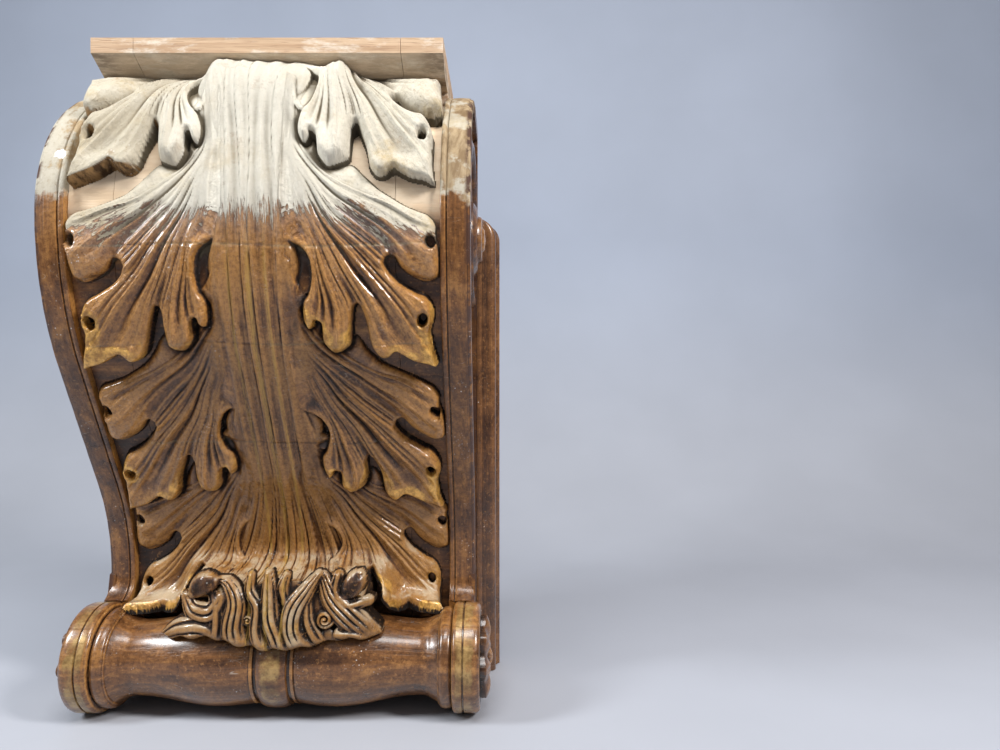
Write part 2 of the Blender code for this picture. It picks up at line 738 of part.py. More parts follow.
def build():
    clear_scene()
    bare_wood = material("bare_wood", (0.52, 0.33, 0.19), 0.62)
    varnish = material("varnished_wood", (0.13, 0.045, 0.018), 0.32)
    leaf_finish = material("leaf_finish", (0.19, 0.075, 0.025), 0.30)
    gilt = material("gilt_wood", (0.30, 0.17, 0.05), 0.36)

    half = CORE_WIDTH / 2.0
    joint = half - PLANK_WIDTH
    extrude_side("core_middle", core_outline(), -joint + GAP / 2.0, joint - GAP / 2.0, bare_wood)
    extrude_side("core_left", core_outline(), -half, -joint - GAP / 2.0, bare_wood)
    extrude_side("core_right", core_outline(), joint + GAP / 2.0, half, bare_wood)

    roll = turned("roll", roll_profile(), ROLL_SPOKES, varnish)
    roll.data.shade_smooth()
    for name, side in (("left", -1), ("right", 1)):
        cheek("cheek_" + name, side, varnish)
        face_x = side * (half + CHEEK_THICKNESS - PANEL_SINK + GAP)
        polar_relief("volute_eye_" + name, side, face_x, (EYE_DEPTH, TOP_CENTRE_HEIGHT), EYE_RADIUS,
                     eye_relief, 9, 20, varnish)
        polar_relief("rosette_" + name, side, side * (ROLL_HALF + GAP), (ROLL_DEPTH, ROLL_HEIGHT),
                     ROSETTE_RADIUS, petal_relief, 5, 32, gilt)
        back_moulding("back_moulding_" + name, side, varnish)
    acanthus_leaf(leaf_finish)


build()
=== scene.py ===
# %% [markdown]
# # A carved wooden corbel bracket
# A corbel is a bracket built into a wall to carry a shelf or a beam. This one is a block of pine with a
# moulded board on top, two scroll-shaped cheeks, a carved acanthus leaf down its front and a turned roll at
# its foot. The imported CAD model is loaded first, as a fixed frame, and finer pieces are built around it.

# %% Load the frame
import json
import math

import bmesh
import bpy
import numpy as np
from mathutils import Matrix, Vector

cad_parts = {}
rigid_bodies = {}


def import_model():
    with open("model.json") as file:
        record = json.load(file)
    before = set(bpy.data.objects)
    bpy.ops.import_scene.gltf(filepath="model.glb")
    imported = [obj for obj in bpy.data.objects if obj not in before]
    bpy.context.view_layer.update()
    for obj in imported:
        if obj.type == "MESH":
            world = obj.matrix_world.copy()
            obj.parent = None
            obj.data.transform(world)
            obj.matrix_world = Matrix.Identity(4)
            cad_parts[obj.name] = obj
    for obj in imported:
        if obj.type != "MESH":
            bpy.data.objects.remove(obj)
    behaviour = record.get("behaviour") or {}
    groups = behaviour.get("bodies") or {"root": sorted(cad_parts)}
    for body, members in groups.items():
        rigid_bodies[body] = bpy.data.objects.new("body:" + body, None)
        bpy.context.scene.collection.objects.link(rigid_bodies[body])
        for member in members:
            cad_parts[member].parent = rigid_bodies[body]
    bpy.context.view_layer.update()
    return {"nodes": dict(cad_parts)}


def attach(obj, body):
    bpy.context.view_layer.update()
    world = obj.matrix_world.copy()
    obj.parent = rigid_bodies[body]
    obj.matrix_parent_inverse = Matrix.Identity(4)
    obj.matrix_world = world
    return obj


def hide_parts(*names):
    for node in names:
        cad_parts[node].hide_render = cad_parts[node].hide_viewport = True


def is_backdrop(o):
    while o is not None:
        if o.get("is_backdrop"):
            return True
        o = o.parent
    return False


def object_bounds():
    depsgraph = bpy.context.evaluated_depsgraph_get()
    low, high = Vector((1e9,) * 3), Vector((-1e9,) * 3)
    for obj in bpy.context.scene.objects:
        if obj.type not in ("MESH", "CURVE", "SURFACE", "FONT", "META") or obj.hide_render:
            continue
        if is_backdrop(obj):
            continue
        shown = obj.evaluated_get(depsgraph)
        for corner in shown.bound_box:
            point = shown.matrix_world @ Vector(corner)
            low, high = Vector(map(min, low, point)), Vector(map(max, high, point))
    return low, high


for leftover in list(bpy.data.objects):
    bpy.data.objects.remove(leftover, do_unlink=True)
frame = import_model()

# %% [markdown]
# ## The scroll line
# Everything on the front follows one line: the edge of the cheeks, seen from the side. A joiner draws it as a
# quarter circle over a longer, flatter arc, a straight, and a hollow foot that turns out over the roll. It
# could be a hand-drawn curve, but arcs and straights give a point, and the way it faces, at any length
# along the line. All sizes are in millimetres: d is the depth from the bulge back, z the height from the
# roll's underside.

# %% Sizes and the scroll line
DEPTH, HEIGHT, ORIGIN_HEIGHT = 160.0, 458.0, 229.0
HALF_CORE, CHEEK, GLUE = 116.0, 19.0, 0.3
TOP_RADIUS, TOP_CENTRE = 100.0, 337.0
BULGE_RADIUS, FOOT_RADIUS, SWEEP = 195.0, 135.0, math.radians(30.0)
FOOT_END, TURN_RADIUS, TOE_LENGTH, TOE_RADIUS = 88.6, 17.0, 6.4, 35.2
SHANK = (TOP_CENTRE - FOOT_END - (BULGE_RADIUS + FOOT_RADIUS) * math.sin(SWEEP)) / math.cos(SWEEP)
RECESS = 5.5
START_ARC = TOP_RADIUS * math.radians(30.0)
SEGMENTS = [(TOP_RADIUS * math.pi / 2, math.pi / 2), (BULGE_RADIUS * SWEEP, SWEEP), (SHANK, 0.0),
            (FOOT_RADIUS * SWEEP, -SWEEP), (TURN_RADIUS * math.pi / 2, -math.pi / 2), (TOE_LENGTH, 0.0),
            (TOE_RADIUS * math.pi / 2, math.pi / 2)]


def trace_scroll(step=0.5):
    """Samples of the scroll line: arc length from the leaf's start, depth, height, heading."""
    rows, arc, d, z, heading = [], -START_ARC, TOP_RADIUS, TOP_CENTRE + TOP_RADIUS, 0.0
    for length, turn in SEGMENTS:
        count = max(2, int(length / step))
        for k in range(count):
            rows.append((arc, d, z, heading))
            part = length / count
            middle = heading + 0.5 * turn / count
            d -= part * math.cos(middle)
            z -= part * math.sin(middle)
            heading += turn / count
            arc += part
    rows.append((arc, d, z, heading))
    return np.array(rows)


SCROLL = trace_scroll()
FOOT_ARC = sum(length for length, _ in SEGMENTS[:4]) - START_ARC


def scroll(arc, out=0.0):
    """Depth and height at an arc length, moved outwards along the normal. Arrays are welcome."""
    heading = np.interp(arc, SCROLL[:, 0], SCROLL[:, 3])
    d = np.interp(arc, SCROLL[:, 0], SCROLL[:, 1]) - out * np.sin(heading)
    z = np.interp(arc, SCROLL[:, 0], SCROLL[:, 2]) + out * np.cos(heading)
    return d, z


def world(x, d, z):
    """Row-frame points in metres from x, depth and height in millimetres."""
    x, d, z = np.broadcast_arrays(np.asarray(x, float), d, z)
    return np.stack([x, d - DEPTH, z - ORIGIN_HEIGHT], -1).reshape(-1, 3) * 0.001


print("scroll line", round(SCROLL[-1, 0] - SCROLL[0, 0], 1), "mm; foot at", round(FOOT_ARC, 1))

# %% [markdown]
# ## Making pieces
# Each piece is a mesh made from arrays of points. Alongside the points go values that the materials read
# later, such as how far down the leaf a point lies, or how hollow the carving is there. They could be painted
# by hand as weights, but values worked out from the shape stay right when the shape changes.

# %% Mesh helper
SHARP_ANGLE = math.radians(38.0)


def make_piece(name, points, faces, values=None, slot="varnished_wood", stands_for=(), sharp=SHARP_ANGLE):
    """A mesh object that rides on the part and stands for CAD nodes."""
    mesh = bpy.data.meshes.new(name)
    mesh.from_pydata([tuple(p) for p in points], [], [tuple(int(i) for i in f) for f in faces])
    for key, array in (values or {}).items():
        attribute = mesh.attributes.new(key, "FLOAT", "POINT")
        attribute.data.foreach_set("value", np.asarray(array, np.float32))
    work = bmesh.new()
    work.from_mesh(mesh)
    bmesh.ops.recalc_face_normals(work, faces=work.faces)
    work.to_mesh(mesh)
    work.free()
    mesh.shade_smooth()
    mesh.set_sharp_from_angle(angle=sharp)
    piece = bpy.data.objects.new(name, mesh)
    bpy.context.scene.collection.objects.link(piece)
    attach(piece, "root")
    if stands_for:
        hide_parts(*stands_for)
    return piece


def ring_faces(rings, count, first=0, closed_ends=True):
    """Quads between successive rings of points, with flat ends."""
    j, k = np.meshgrid(np.arange(rings - 1), np.arange(count), indexing="ij")
    after = (k + 1) % count
    quads = np.stack([j * count + k, j * count + after, (j + 1) * count + after, (j + 1) * count + k], -1)
    faces = [list(q) for q in (quads.reshape(-1, 4) + first)]
    if closed_ends:
        faces.append([first + k for k in range(count)][::-1])
        faces.append([first + (rings - 1) * count + k for k in range(count)])
    return faces


class Shells:
    """Collects closed shells, with their values, that together make one piece."""

    def __init__(self):
        self.points, self.faces, self.values = [], [], {}
        self.count = 0

    def add(self, points, faces, **values):
        points = np.asarray(points).reshape(-1, 3)
        self.faces += [[i + self.count for i in f] for f in faces]
        self.points.append(points)
        for key, array in values.items():
            self.values.setdefault(key, []).append(np.broadcast_to(np.asarray(array, float), len(points)))
        self.count += len(points)

    def build(self, name, **options):
        values = {key: np.concatenate(parts) for key, parts in self.values.items()}
        return make_piece(name, np.concatenate(self.points), self.faces, values, **options)


def smoothstep(low, high, x):
    t = np.clip((np.asarray(x, float) - low) / (high - low), 0.0, 1.0)
    return t * t * (3.0 - 2.0 * t)


# %% [markdown]
# ## The roll
# The roll is one turning: a torus at the centre between quirks, two bellies that run out to slim necks, a
# bead and a broad disc at each end. A lathe makes it on the real object, and a spun profile makes it here.
# The profile is drawn as radius over length, so the leaf can ask later how far out the wood is.

# %% Turned profile
ROLL_DEPTH, ROLL_HEIGHT, ROLL_END, DISC_RADIUS = 69.0, 37.0, 139.6, 37.0
TORUS, BELLY, NECK, BELLY_RADIUS, NECK_RADIUS = 10.0, 40.0, 98.0, 32.6, 25.5


def half_profile():
    """The roll's outline from its centre to one end: rows of x and radius."""
    rows = [(TORUS * math.sin(a), 30.6 + 2.8 * math.cos(a)) for a in np.linspace(0, math.pi / 2, 14)]
    rows += [(TORUS + 0.3, 30.3), (TORUS + 0.5, 29.2), (TORUS + 2.4, 29.0), (TORUS + 2.7, 30.4),
             (TORUS + 4.6, 30.7), (TORUS + 4.9, 29.8), (TORUS + 5.4, 29.9)]
    for x in np.linspace(TORUS + 6.0, NECK, 60):
        if x < BELLY:
            rows.append((x, BELLY_RADIUS - 2.3 * ((BELLY - x) / (BELLY - TORUS - 6.0)) ** 2))
        else:
            swell = 0.5 + 0.5 * math.cos(math.pi * (x - BELLY) / (NECK - BELLY))
            rows.append((x, NECK_RADIUS + (BELLY_RADIUS - NECK_RADIUS) * swell))
    rows += [(NECK + 13.0 * t, NECK_RADIUS + 4.6 * t ** 1.7) for t in np.linspace(0.08, 1, 12)]
    rows += [(111.3, 31.2), (111.7, 31.6)]
    rows += [(116.3 - 4.3 * math.cos(a), 31.5 + 2.5 * math.sin(a)) for a in np.linspace(0.1, math.pi - 0.1, 14)]
    rows += [(120.7, 31.9), (120.9, 35.2), (121.5, 36.2), (122.6, 36.9), (124.0, 37.0), (127.5, 36.9),
             (127.9, 36.1), (128.7, 36.0), (129.1, 36.9), (134.0, 37.0), (136.6, 36.8), (138.3, 36.1),
             (139.2, 35.2), (139.6, 34.2), (139.6, 31.2), (138.4, 30.4)]
    return np.array(rows)


PROFILE = half_profile()


def roll_radius(x):
    return np.interp(np.abs(x), PROFILE[:, 0], PROFILE[:, 1])


def build_roll():
    rows = np.vstack([PROFILE[:0:-1] * [-1, 1], PROFILE])
    spokes = 144
    angle = np.arange(spokes) * 2 * math.pi / spokes
    x, a = np.meshgrid(rows[:, 0], angle, indexing="ij")
    radius = np.repeat(rows[:, 1][:, None], spokes, 1)
    radius = radius - 0.18 * (1 + np.sin(3 * a + 0.05 * x)) * smoothstep(15, 30, np.abs(x)) * (np.abs(x) < 105)
    points = world(x, ROLL_DEPTH - radius * np.cos(a), ROLL_HEIGHT + radius * np.sin(a))
    # The profile's bend gives the hollow value: grooves darken as painted shade with gathered varnish, beads lighten.
    edge = np.zeros_like(radius)
    bend = rows[1:-1, 1] - 0.5 * (rows[:-2, 1] + rows[2:, 1])
    edge[1:-1] = np.clip(bend * 0.6, -1, 1)[:, None]
    on_disc = smoothstep(121, 125, np.abs(x)) * smoothstep(139, 133, np.abs(x))
    gilt = on_disc + smoothstep(TORUS + 1, TORUS - 5, np.abs(x)) * smoothstep(-1.1, -0.5, np.sin(a)) \
        + 0.2 * smoothstep(104, 108, np.abs(x))
    return make_piece("turned_roll", points, ring_faces(len(rows), spokes),
                      {"hollow": -edge.ravel(), "gilt": np.clip(gilt, 0, 1).ravel()}, stands_for=["roll"])


roll = build_roll()
print("roll", len(roll.data.polygons), "faces")

# %% [markdown]
# ## The leaf's pattern
# An acanthus leaf is carved from one pattern, drawn on the wood and repeated down the stem with small
# differences. The pattern here is the outline of one leaflet, from the stem round its bulb, its side lobe,
# its long main tip and the nub by the eye, and back to the stem. Each point has a third number: how broadly
# the edge is rounded over there, as a sharp lip or as a full nodding bulb. A second table has the lines that
# the gouge follows from the stem out to the lobes. A sculpted mesh could do without them, but the flutes of
# an acanthus all follow such lines, and two short tables hold the whole design.

# %% Leaflet pattern
HALF_FIELD = HALF_CORE - GLUE
TIER_TIPS = (86.0, 204.0, 318.0, 406.0)
TIER_SCALES = (0.96, 1.0, 1.0, 0.92)
OUTLINE = [
    (13, -188, 3), (22, -187, 2.5), (25, -180, 2), (28, -172, 2), (33, -165, 2.5), (42, -160, 5), (52, -150, 7),
    (64, -130, 7), (77, -114, 6), (91, -106, 5), (102, -102, 4),
    (110, -99, 4), (114.5, -93, 4), (114, -86, 4), (115, -78, 5), (116, -66, 9), (114, -58, 10), (107, -55.5, 10),
    (99, -58.5, 9), (91.5, -64, 6), (87, -70.5, 3), (83, -69.5, 3), (82, -65.5, 3), (85, -60, 3), (90.5, -54.5, 3),
    (99, -49, 4), (105.5, -45.5, 5), (110, -38, 6), (111, -30, 4), (110, -22, 3), (112, -8, 3), (114, 0.8, 2.5),
    (107, -1.4, 2.2), (98.5, -4, 2.4), (91, -8.5, 2.4), (87.5, -10, 2.4), (82.5, -5.8, 3), (77.5, -5.5, 4),
    (72.5, -11, 4), (70.5, -18, 3), (69, -26, 3), (66, -35, 3), (63, -41.5, 3), (60.3, -39, 3), (60, -30, 4),
    (60, -22, 6), (58.5, -15.5, 7), (53, -11.5, 8), (47.5, -10.5, 8), (43.5, -14.5, 6), (41, -20, 4), (41, -26, 2.5),
    (40.2, -31.5, 2.2), (37.5, -33, 2.2), (36.2, -29, 2.5), (33, -26.5, 4), (29.8, -31, 5), (28.5, -38, 5),
    (29.5, -45, 4), (33, -50, 3), (35.5, -56, 2), (36.6, -63, 1.8), (35, -71, 1.8), (30, -77.5, 2.5), (23, -81, 3),
    (13, -85, 4), (13, -140, 4)]
HOLES = [(110.5, -82.0, 2.9, 3.6), (104.0, -31.5, 2.5, 3.4)]
FLOW = [
    [(20, -168), (40, -133), (68, -112), (92, -103), (113, -95)],
    [(21, -160), (42, -125), (68, -104), (92, -88), (114, -72)],
    [(22, -152), (42, -116), (64, -95), (82, -77), (92, -60)],
    [(23, -146), (44, -106), (66, -80), (88, -58), (109, -40)],
    [(24, -140), (44, -98), (66, -68), (90, -36), (113, -4)],
    [(25, -135), (43, -92), (60, -60), (72, -34), (84, -7)],
    [(26, -130), (41, -88), (53, -64), (61, -44), (64, -28)],
    [(26, -124), (40, -84), (50, -58), (56, -36), (57, -13)],
    [(26, -118), (38, -80), (44, -56), (47, -34), (47, -11)],
    [(26, -110), (34, -88), (38, -66), (36, -50), (31, -34)]]
NOTCHES, CRESTS = (2.0, 6.0), (1.0, 3.0, 4.0, 7.5)
CUTS = ((0.55, 1.2), (1.45, 1.5), (2.5, 1.6), (3.5, 1.2), (4.45, 2.0), (5.3, 1.5), (6.7, 1.6), (7.2, 1.0),
        (7.9, 1.4), (8.5, 1.2))


def spline(rows, per_span, closed=False):
    """Points of a smooth curve through the rows of a table."""
    rows = np.array(rows, float)
    first, last = (rows[-1:], rows[:2]) if closed else (2 * rows[:1] - rows[1:2], 2 * rows[-1:] - rows[-2:-1])
    padded = np.concatenate([first, rows, last])
    t = (np.arange(per_span) / per_span).reshape(-1, *([1] * (rows.ndim - 1)))
    out = []
    for k in range(len(padded) - 3):
        a, b, c, e = padded[k:k + 4]
        out.append(0.5 * (2 * b + (c - a) * t + (2 * a - 5 * b + 4 * c - e) * t ** 2
                          + (3 * b - a - 3 * c + e) * t ** 3))
    if not closed:
        out.append(rows[-1:])
    return np.concatenate(out)


def blur(grid, radius, axes=(0, 1)):
    """A grid smoothed over a radius in cells."""
    reach = int(math.ceil(2.5 * radius))
    kernel = np.exp(-0.5 * (np.arange(-reach, reach + 1) / radius) ** 2)
    kernel /= kernel.sum()
    for axis in axes:
        pad = [(reach, reach) if a == axis else (0, 0) for a in (0, 1)]
        padded = np.pad(grid, pad, "edge")
        grid = sum(w * np.take(padded, np.arange(k, k + grid.shape[axis]), axis) for k, w in enumerate(kernel))
    return grid


# %% [markdown]
# ### Pattern maps
# The pattern is worked out once, as maps half a millimetre fine: the distance in from the outline, how
# broadly the edge is rounded, which gouge line a point lies on, how far along it, and the height of the carving.
# Every leaflet looks its own heights up in them through a slightly bent copy of the pattern.

# %% Pattern maps
SWELLINGS = ((103, -78, 17, 12, 2.6), (50, -24, 9, 13, 2.6), (104, -40, 9, 7, 1.6), (100, -9, 20, 9, 1.4),
             (78, -11, 6, 7, 1.8), (32, -36, 5, 9, 1.2))
FLUTES_PER_LANE, FLUTE_DEPTH, BUNDLE_DEPTH, NOTCH_DEPTH, CREST_RISE, RIM_RISE = 2.6, 1.6, 1.5, 3.4, 1.3, 0.9
MAP_STEP = 0.5
MAP_X = np.arange(8.0, 120.0, MAP_STEP)
MAP_S = np.arange(-194.0, 6.0, MAP_STEP)


def outline_maps():
    """Signed distance in from the outline, and the width of the rounded edge."""
    x, s = np.meshgrid(MAP_X, MAP_S, indexing="ij")
    loop = spline(OUTLINE, 5, closed=True)
    nearest, width = np.full(x.shape, 1e9), np.zeros(x.shape)
    crossings = np.zeros(x.shape, int)
    for (ax, ay, aw), (bx, by, bw) in zip(loop, np.roll(loop, -1, 0)):
        ex, ey = bx - ax, by - ay
        t = np.clip(((x - ax) * ex + (s - ay) * ey) / (ex * ex + ey * ey + 1e-9), 0, 1)
        gap = np.hypot(x - ax - t * ex, s - ay - t * ey)
        closer = gap < nearest
        nearest = np.where(closer, gap, nearest)
        width = np.where(closer, aw + (bw - aw) * t, width)
        crossings += ((ay > s) != (by > s)) & (x < ax + (s - ay) * ex / (ey if abs(ey) > 1e-9 else 1e-9))
    inward = np.where(crossings % 2 == 1, nearest, -nearest)
    for cx, cs, rx, rs in HOLES:
        hole = (np.hypot((x - cx) / rx, (s - cs) / rs) - 1) * min(rx, rs)
        width = np.where(hole < inward, 1.3, width)
        inward = np.minimum(inward, hole)
    return inward, width


def flow_maps():
    """Which gouge line each point of the pattern lies on, and how far along it."""
    stem_side = [[(13.5 + 1.15 * k, -191.0)] + row for k, row in enumerate(FLOW)]
    fan = spline(np.array(stem_side, float), 44)
    fan = spline(fan.swapaxes(0, 1), 90).swapaxes(0, 1)
    lane, along = np.meshgrid(np.linspace(0, len(FLOW) - 1, fan.shape[0]), np.linspace(0, 1, fan.shape[1]),
                              indexing="ij")
    i = np.clip(((fan[..., 0] - MAP_X[0]) / MAP_STEP).round().astype(int), 0, len(MAP_X) - 1)
    j = np.clip(((fan[..., 1] - MAP_S[0]) / MAP_STEP).round().astype(int), 0, len(MAP_S) - 1)
    sums = [np.zeros((len(MAP_X), len(MAP_S))) for _ in range(3)]
    for total, value in zip(sums, (lane, along, np.ones_like(lane))):
        np.add.at(total, (i, j), value)
    fine = [blur(total, 0.8) for total in sums]
    filled = fine[2] > 0.02
    lane_map, along_map = (np.where(filled, f / np.maximum(fine[2], 1e-9), 0.0) for f in fine[:2])
    weight = filled.astype(float)
    for radius in (2, 4, 8, 16, 32):
        spread = blur(weight, radius)
        reached = spread > 1e-4
        lane_map, along_map = (
            np.where(weight > 0.5, known, np.where(reached, blur(known * weight, radius) / np.maximum(spread, 1e-9), 0))
            for known in (lane_map, along_map))
        weight = np.maximum(weight, reached.astype(float))
    return lane_map, along_map


def pattern_height(inward, lane, along):
    """Height of the carving over the field, before its edges are rounded over."""
    x, s = np.meshgrid(MAP_X, MAP_S, indexing="ij")
    height = 6.2 + 5.8 * smoothstep(-125, -30, s)
    height += 2.6 * smoothstep(50, 24, x) * smoothstep(-84, -120, s)
    for cx, cs, rx, rs, rise in SWELLINGS:
        height += rise * np.exp(-((x - cx) / rx) ** 2 - ((s - cs) / rs) ** 2)
    outer = smoothstep(0.45, 0.88, along)
    for notch in NOTCHES:
        height -= NOTCH_DEPTH * np.exp(-((lane - notch) / 0.5) ** 2) * outer
    slope = np.hypot(*np.gradient(blur(lane, 1.5))) / MAP_STEP
    crowded = blur(smoothstep(0.22, 0.55, slope), 3)
    for crest in CRESTS:
        height += CREST_RISE * np.exp(-np.abs(lane - crest) / 0.2) * smoothstep(0.1, 0.5, along) \
            * (1 - 0.5 * outer) * (1 - crowded)
    drift = lane * FLUTES_PER_LANE + 0.45 * np.sin(1.9 * lane + 0.6) + 0.2 * np.sin(5.1 * lane)
    flute_width = 1.0 / np.maximum(FLUTES_PER_LANE * slope, 0.05)
    strength = np.clip((flute_width - 0.9) / 2.3, 0, 1.25) * (1 - 0.75 * smoothstep(0.86, 1.0, along))
    strength = blur(strength * (0.6 + 0.4 * np.sin(2.4 * lane + 1.0) ** 2), 2) * smoothstep(17, 24, x)
    bundle = blur(np.clip((3.0 / np.maximum(slope, 0.05) - 1.5) / 3.0, 0, 1), 2) * (1 - smoothstep(0.35, 0.6, along))
    strength, bundle = strength * (1 - crowded), bundle * (1 - crowded)
    height -= 0.35 * crowded * np.abs(np.sin(math.pi * (x - 0.10 * (s + 150)) / 4.3))
    height -= BUNDLE_DEPTH * bundle * smoothstep(24, 31, x) * np.abs(np.sin(math.pi * (lane / 3.0 + 0.2))) ** 0.8
    height -= FLUTE_DEPTH * np.abs(np.sin(math.pi * drift)) ** 0.8 * strength
    reach = smoothstep(0.12, 0.3, along) * smoothstep(0.92, 0.7, along) * smoothstep(19, 27, x) * (1 - crowded)
    for cut, deep in CUTS:
        height -= deep * np.exp(-np.abs(lane - cut) / 0.10) * reach
    rim = np.exp(-((np.hypot((x - 31) / 7.0, (s + 62) / 17.0) - 1.0) / 0.16) ** 2)
    return height + RIM_RISE * rim * (inward > 0), crowded


pattern_inward, pattern_edge = outline_maps()
pattern_lane, pattern_along = flow_maps()
pattern_rise, pattern_calm = pattern_height(pattern_inward, pattern_lane, pattern_along)
print("pattern", pattern_rise.shape, "rise", round(float(pattern_rise.min()), 2), round(float(pattern_rise.max()), 2))


# %% [markdown]
# ## The leaf's surface
# The whole leaf is one carved surface over the field, so its height is kept on a grid that covers the field
# across and the scroll line down. Each leaflet's pattern is laid on it in turn, then the ribbed stem, and
# the higher carving always wins. The stem splays at its top and leans a little to the left, and widens
# again at the foot, where it feeds the curled tip.

# %% Leaf height map
CELL = 0.8
GRID_X = np.linspace(-HALF_FIELD, HALF_FIELD, int(2 * HALF_FIELD / CELL) + 1)
GRID_S = np.arange(-17.0, 412.0, CELL)
X, S = np.meshgrid(GRID_X, GRID_S, indexing="ij")


def stem_frame(x, s):
    """Undoes the stem's splay and lean: signed distance from its centre as the pattern has it."""
    up = np.clip((70.0 - s) / 70.0, 0, 1)
    near = np.clip(1.0 - np.abs(x) / 80.0, 0, 1)
    lean = 8.0 * smoothstep(0, 1, (110.0 - s) / 110.0)
    centred = x + lean * np.minimum(1.0, 2.0 * near)
    return centred / (1 + 0.8 * up * up * near)


def sample(grid, x, s):
    """Values of a pattern map at any places."""
    i = np.clip((x - MAP_X[0]) / MAP_STEP, 0, len(MAP_X) - 1.001)
    j = np.clip((s - MAP_S[0]) / MAP_STEP, 0, len(MAP_S) - 1.001)
    i0, j0 = i.astype(int), j.astype(int)
    fi, fj = i - i0, j - j0
    return (grid[i0, j0] * (1 - fi) * (1 - fj) + grid[i0 + 1, j0] * fi * (1 - fj)
            + grid[i0, j0 + 1] * (1 - fi) * fj + grid[i0 + 1, j0 + 1] * fi * fj)


def rounded(inward, width):
    """Share of the height left near an edge that is rounded over."""
    share = np.clip(inward / width, 0, 1)
    return np.sqrt(np.maximum(0.0, 1 - (1 - share) ** 2))


leaf_maps = {key: np.zeros(X.shape) for key in ("rise", "lane", "along", "tipness", "tier", "calm", "seam")}


def lay(rise, soft=0.0, **values):
    """Keeps the higher of what is there and what is laid on, with a soft join where they meet."""
    wins = rise > leaf_maps["rise"]
    share = np.clip(0.5 + 0.5 * (rise - leaf_maps["rise"]) / max(soft, 1e-6), 0, 1)
    joined = leaf_maps["rise"] + (rise - leaf_maps["rise"]) * share + soft * 0.6 * share * (1 - share)
    leaf_maps["rise"] = np.where(rise > 0, joined, leaf_maps["rise"])
    for key, value in values.items():
        leaf_maps[key] = np.where(wins, value, leaf_maps[key])


LIP_WIDTH, MOAT_DEPTH, ROOT_DROP, LAST_TIER = 15.0, 3.2, 7.0, len(TIER_TIPS) - 1


def lay_leaflets():
    """Lays the four tiers on both sides. Each tier's lower lip sinks a moat in the next, so it stands clear."""
    luck = np.random.default_rng(7)
    moat = np.zeros(X.shape)
    for tier, (tip, scale) in enumerate(zip(TIER_TIPS, TIER_SCALES)):
        next_moat = np.zeros(X.shape)
        for side in (-1, 1):
            a, b, c, e = luck.uniform(0, 2 * math.pi, 4)
            px = side * stem_frame(X, S)
            px = px + 1.1 * np.sin(S / 17.0 + a) * smoothstep(20, 60, px) + 0.5 * np.sin(S / 6.0 + b)
            ps = (S - tip) / scale + 1.6 * np.sin(X / 21.0 + c) + 0.6 * np.sin(X / 7.0 + e)
            if side > 0:
                ps = ps - 3.0 * smoothstep(80, 112, px) * smoothstep(-40, -70, ps)
            off_map = (ps < MAP_S[0]) | (ps > MAP_S[-1]) | (px < MAP_X[0])
            inward = np.where(off_map, -9.0, sample(pattern_inward, px, ps))
            width = sample(pattern_edge, px, ps)
            lane, along = sample(pattern_lane, px, ps), sample(pattern_along, px, ps)
            rise = sample(pattern_rise, px, ps) * rounded(inward, np.maximum(width, 1.5))
            low_edge = np.clip(1 - inward / LIP_WIDTH, 0, 1) * smoothstep(0.7, 0.95, along)
            low_edge = low_edge * (0.3 + 0.7 * smoothstep(-62, -18, ps))
            rise = (rise - moat) * (1 - 0.35 * (tier == LAST_TIER) * smoothstep(0.7, 1.0, along))
            rise -= ROOT_DROP * (tier == LAST_TIER) * smoothstep(28, 17, px) * smoothstep(-115, -92, ps)
            sunk = MOAT_DEPTH * np.exp(np.minimum(inward, 0) / 3.5) * smoothstep(-75, -20, ps)
            next_moat = np.maximum(next_moat, sunk)
            lay(rise, lane=lane + 11.0 * tier + 50.0 * (side > 0), along=along * 150.0, tipness=low_edge,
                tier=float(tier + 1), calm=sample(pattern_calm, px, ps))
        moat = next_moat


STEM_RIDGES = (-32.0, -20.5, -12.6, -5.0, 0.6, 8.5, 16.0, 32.0)
RIDGE_DEPTHS = (0.8, 1.0, 1.5, 1.7, 0.6, 1.6, 0.8)


def lay_stem():
    """Lays the ribbed stem, which splits into finer flutes as it widens at its foot."""
    xs = stem_frame(X, S) / (1 + 1.15 * smoothstep(285, 395, S))
    rise = 10.9 - 0.05 * np.abs(xs) - 0.5 * smoothstep(120, 300, S)
    top = smoothstep(150, 90, S)
    for k, (left, right) in enumerate(zip(STEM_RIDGES, STEM_RIDGES[1:])):
        wander = 0.6 * np.sin(S / 37.0 + k) + 1.5 * top * np.sin(S / 26.0 + 1.9 * k)
        share = np.clip((xs - left - wander) / (right - left), 0, 1)
        rise -= (0.15 + 0.04 * top) * (right - left) * np.sin(math.pi * share) ** 1.3
        rise -= RIDGE_DEPTHS[k] * (1 - 0.45 * top) * np.exp(-np.abs(xs - right - wander + 0.9) / 0.55)
    uneven = xs + 0.9 * np.sin(xs * 0.75) + 0.5 * np.sin(xs * 1.7 + 1.0)
    rise -= 1.5 * (1 - np.abs(np.sin(math.pi * uneven / 4.3 + np.sin(S / 50.0)))) ** 1.6 * smoothstep(280, 340, S)
    rise += 0.9 * np.sin(xs / 2.9 + 0.7) * smoothstep(260, 340, S)
    rise -= 1.0 * (1 - np.abs(np.sin(math.pi * (uneven + 0.2 * np.sin(S / 9.0)) / 1.6))) * smoothstep(318, 345, S)
    edge = 21.5 + 1.2 * np.sin(S / 24.0) + 3.0 * smoothstep(280, 330, S) + 5.0 * smoothstep(222, 250, S) - np.abs(xs)
    for tip, scale in zip(TIER_TIPS[:3], TIER_SCALES):
        edge += 8.0 * np.exp(-((S - tip + 66.0 * scale) / 22.0) ** 2)
    lay(rise * rounded(edge, 5.0), soft=4.0, lane=xs * 0.4 + 200.0, along=S, tipness=0.0, tier=9.0, calm=0.0)


